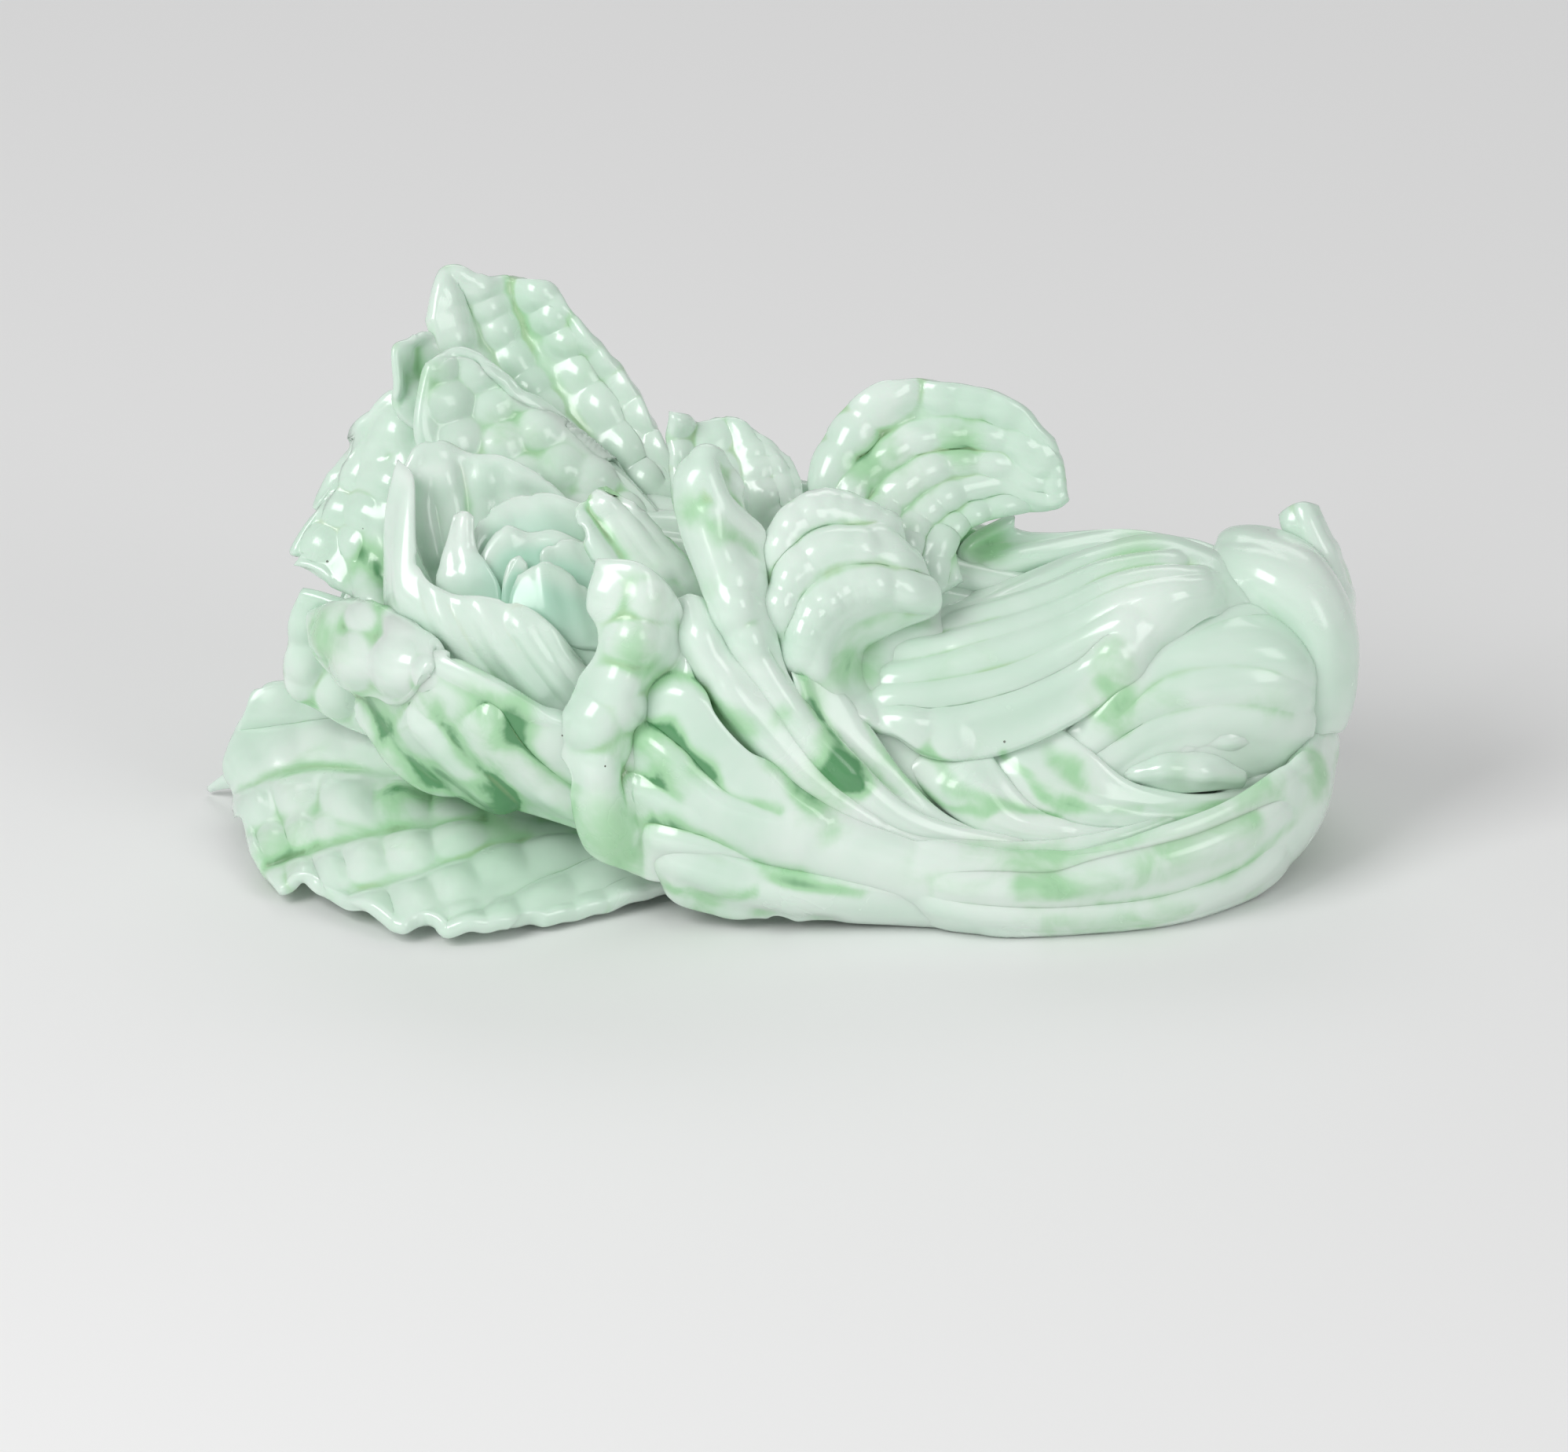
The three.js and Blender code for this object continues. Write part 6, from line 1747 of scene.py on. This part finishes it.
# %% The rear wall leaf
REAR_WALL_SHARES = [
    [[0.9, 0.66, 0.25], [0.9, 0.72, 0.31], [0.89, 0.71, 0.37], [0.88, 0.63, 0.41]],
    [[0.76, 0.78, 0.26], [0.76, 0.84, 0.33], [0.76, 0.8, 0.4], [0.76, 0.7, 0.44]],
    [[0.6, 0.82, 0.3], [0.59, 0.87, 0.4], [0.58, 0.82, 0.49], [0.58, 0.71, 0.53]],
    [[0.46, 0.84, 0.35], [0.44, 0.89, 0.47], [0.43, 0.85, 0.57], [0.43, 0.74, 0.61]],
    [[0.34, 0.88, 0.38], [0.31, 0.92, 0.53], [0.3, 0.9, 0.67], [0.32, 0.84, 0.76]],
    [[0.25, 0.93, 0.4], [0.21, 0.93, 0.53], [0.2, 0.93, 0.66], [0.225, 0.93, 0.78]],
    [[0.2, 0.96, 0.43], [0.165, 0.95, 0.51], [0.16, 0.95, 0.6], [0.19, 0.96, 0.7]],
]
REAR_WALL_RULE = rule(ridges=5, ridge_height=1.2, lanes=5, cells=10, blister=1.5,
                      change=(0.4, 0.65), seed=62)
REAR_WALL_RIM = dict(REAR_RIM, ruffle=0.6, notch=0.045, lobes=(5, 5), seed=7)
carved_sheet("rear_wall_leaf", hidden(REAR_WALL_SHARES), LEAF, REAR_WALL_RULE,
             rim=REAR_WALL_RIM, side=BACK_SIDE)

# %% The rear fan leaf
REAR_FAN_SHARES = [
    [[0.92, 0.56, 0.38], [0.9, 0.6, 0.44], [0.88, 0.55, 0.47]],
    [[0.78, 0.66, 0.41], [0.77, 0.7, 0.48], [0.75, 0.62, 0.51]],
    [[0.64, 0.7, 0.46], [0.61, 0.74, 0.56], [0.59, 0.66, 0.61]],
    [[0.54, 0.73, 0.5], [0.5, 0.75, 0.61], [0.48, 0.7, 0.66]],
    [[0.46, 0.77, 0.54], [0.42, 0.76, 0.65], [0.41, 0.77, 0.71]],
]
REAR_FAN_RULE = rule(ridges=3, ridge_height=0.6, lanes=3, cells=8, blister=1.0,
                     change=(0.35, 0.6), seed=63)
REAR_FAN_RIM = dict(REAR_RIM, seed=8)
carved_sheet("rear_fan_leaf", hidden(REAR_FAN_SHARES), LEAF, REAR_FAN_RULE,
             rim=REAR_FAN_RIM, side=BACK_SIDE)

# %% The rear top leaf
REAR_TOP_SHARES = [
    [[0.86, 0.55, 0.4], [0.85, 0.52, 0.45], [0.84, 0.47, 0.47]],
    [[0.72, 0.62, 0.45], [0.71, 0.57, 0.51], [0.7, 0.5, 0.51]],
    [[0.58, 0.66, 0.51], [0.57, 0.59, 0.57], [0.57, 0.51, 0.55]],
    [[0.46, 0.7, 0.54], [0.45, 0.62, 0.61], [0.45, 0.55, 0.57]],
    [[0.39, 0.72, 0.58], [0.38, 0.66, 0.63], [0.4, 0.6, 0.6]],
]
REAR_TOP_RULE = rule(ridges=3, ridge_height=0.6, lanes=3, cells=7, blister=1.0,
                     change=(0.35, 0.6), seed=64)
REAR_TOP_RIM = dict(REAR_RIM, seed=9)
carved_sheet("rear_top_leaf", hidden(REAR_TOP_SHARES), LEAF, REAR_TOP_RULE,
             rim=REAR_TOP_RIM, side=BACK_SIDE)

# %% The rear left leaf
REAR_LEFT_SHARES = [
    [[0.32, 0.72, 0.16], [0.31, 0.78, 0.34], [0.32, 0.74, 0.5]],
    [[0.22, 0.8, 0.13], [0.2, 0.85, 0.34], [0.22, 0.82, 0.54]],
    [[0.15, 0.83, 0.11], [0.13, 0.85, 0.3], [0.155, 0.85, 0.47]],
    [[0.12, 0.82, 0.12], [0.105, 0.83, 0.22], [0.12, 0.84, 0.35]],
]
REAR_LEFT_RULE = rule(lanes=4, cells=5, blister=1.2, change=(0.1, 0.3), seed=65)
REAR_LEFT_RIM = dict(REAR_RIM, ruffle=0.7, start=0.3, seed=10)
carved_sheet("rear_left_leaf", hidden(REAR_LEFT_SHARES), LEAF, REAR_LEFT_RULE,
             rim=REAR_LEFT_RIM, side=BACK_SIDE)

# %% [markdown]
# ## Floor, light and camera
# The floor is pale and plain. Three soft boxes light the stone: a large one high on the left and a
# narrower one on the right give the long soft highlights on the ridges, and a weak one behind
# parts the rims from the floor. Small lamps would leave hard dots on such a polish. A dim white
# world fills the rest. The camera is far away with a long lens, which is how small carvings are
# photographed.

# %% The floor
FLOOR_SIZE = 4
FLOOR_MIDDLE = (0, 0.6, 0)
bpy.ops.mesh.primitive_plane_add(size=FLOOR_SIZE, location=FLOOR_MIDDLE)
floor = bpy.context.object
floor.name = "floor"
paper = bpy.data.materials.new("pale_paper")
paper.use_nodes = True
paper_shader = paper.node_tree.nodes["Principled BSDF"]
paper_shader.inputs["Base Color"].default_value = linear(0.96, 0.96, 0.96)
paper_shader.inputs["Roughness"].default_value = 0.6
floor.data.materials.append(paper)
print("the floor is", FLOOR_SIZE, "m wide")

# %% The lamps
# Each soft box: where it hangs, its width and height, and its power
SOFT_BOXES = {
    "key_box": ((-0.55, -0.55, 0.68), 0.5, 0.5, 5.0),
    "fill_box": ((0.6, -0.6, 0.45), 0.35, 0.5, 1.4),
    "back_box": ((0.1, 0.7, 0.7), 0.8, 0.3, 1.1),
}
LIT_PLACE = Vector((0, 0, 0.03))
WORLD_STRENGTH = 0.4
for name, (place, width, height, power) in SOFT_BOXES.items():
    light = bpy.data.lights.new(name, "AREA")
    light.shape = "RECTANGLE"
    light.size, light.size_y, light.energy = width, height, power
    lamp = bpy.data.objects.new(name, light)
    lamp.location = place
    lamp.rotation_euler = (LIT_PLACE - Vector(place)).to_track_quat("-Z", "Y").to_euler()
    bpy.context.collection.objects.link(lamp)
world = bpy.data.worlds.new("dim_white")
world.use_nodes = True
world.node_tree.nodes["Background"].inputs["Color"].default_value = (1, 1, 1, 1)
world.node_tree.nodes["Background"].inputs["Strength"].default_value = WORLD_STRENGTH
bpy.context.scene.world = world
bpy.context.scene.view_settings.view_transform = "Standard"
print("soft boxes:", ", ".join(SOFT_BOXES))

# %% The camera
CAMERA_DISTANCE = 2.5
SENSOR_WIDTH = 36.0
VIEW_END = 20
camera_data = bpy.data.cameras.new("camera")
camera_data.sensor_width = SENSOR_WIDTH
camera_data.lens = SENSOR_WIDTH * CAMERA_DISTANCE / (PICTURE_WIDTH * ACROSS_SCALE)
camera_data.clip_end = VIEW_END
aim_rise = rise_pixels(PICTURE_HEIGHT / 2, MIDDLE_BACK_PIXEL)
aim = Vector(((PICTURE_WIDTH / 2 - MIDDLE_PIXEL) * ACROSS_SCALE, 0, aim_rise * RISE_SCALE))
camera = bpy.data.objects.new("camera", camera_data)
camera.location = aim + CAMERA_DISTANCE * Vector(VIEW_SIDE)
camera.rotation_euler = (aim - camera.location).to_track_quat("-Z", "Y").to_euler()
bpy.context.collection.objects.link(camera)
bpy.context.scene.camera = camera
print("lens", round(camera_data.lens, 1), "mm")
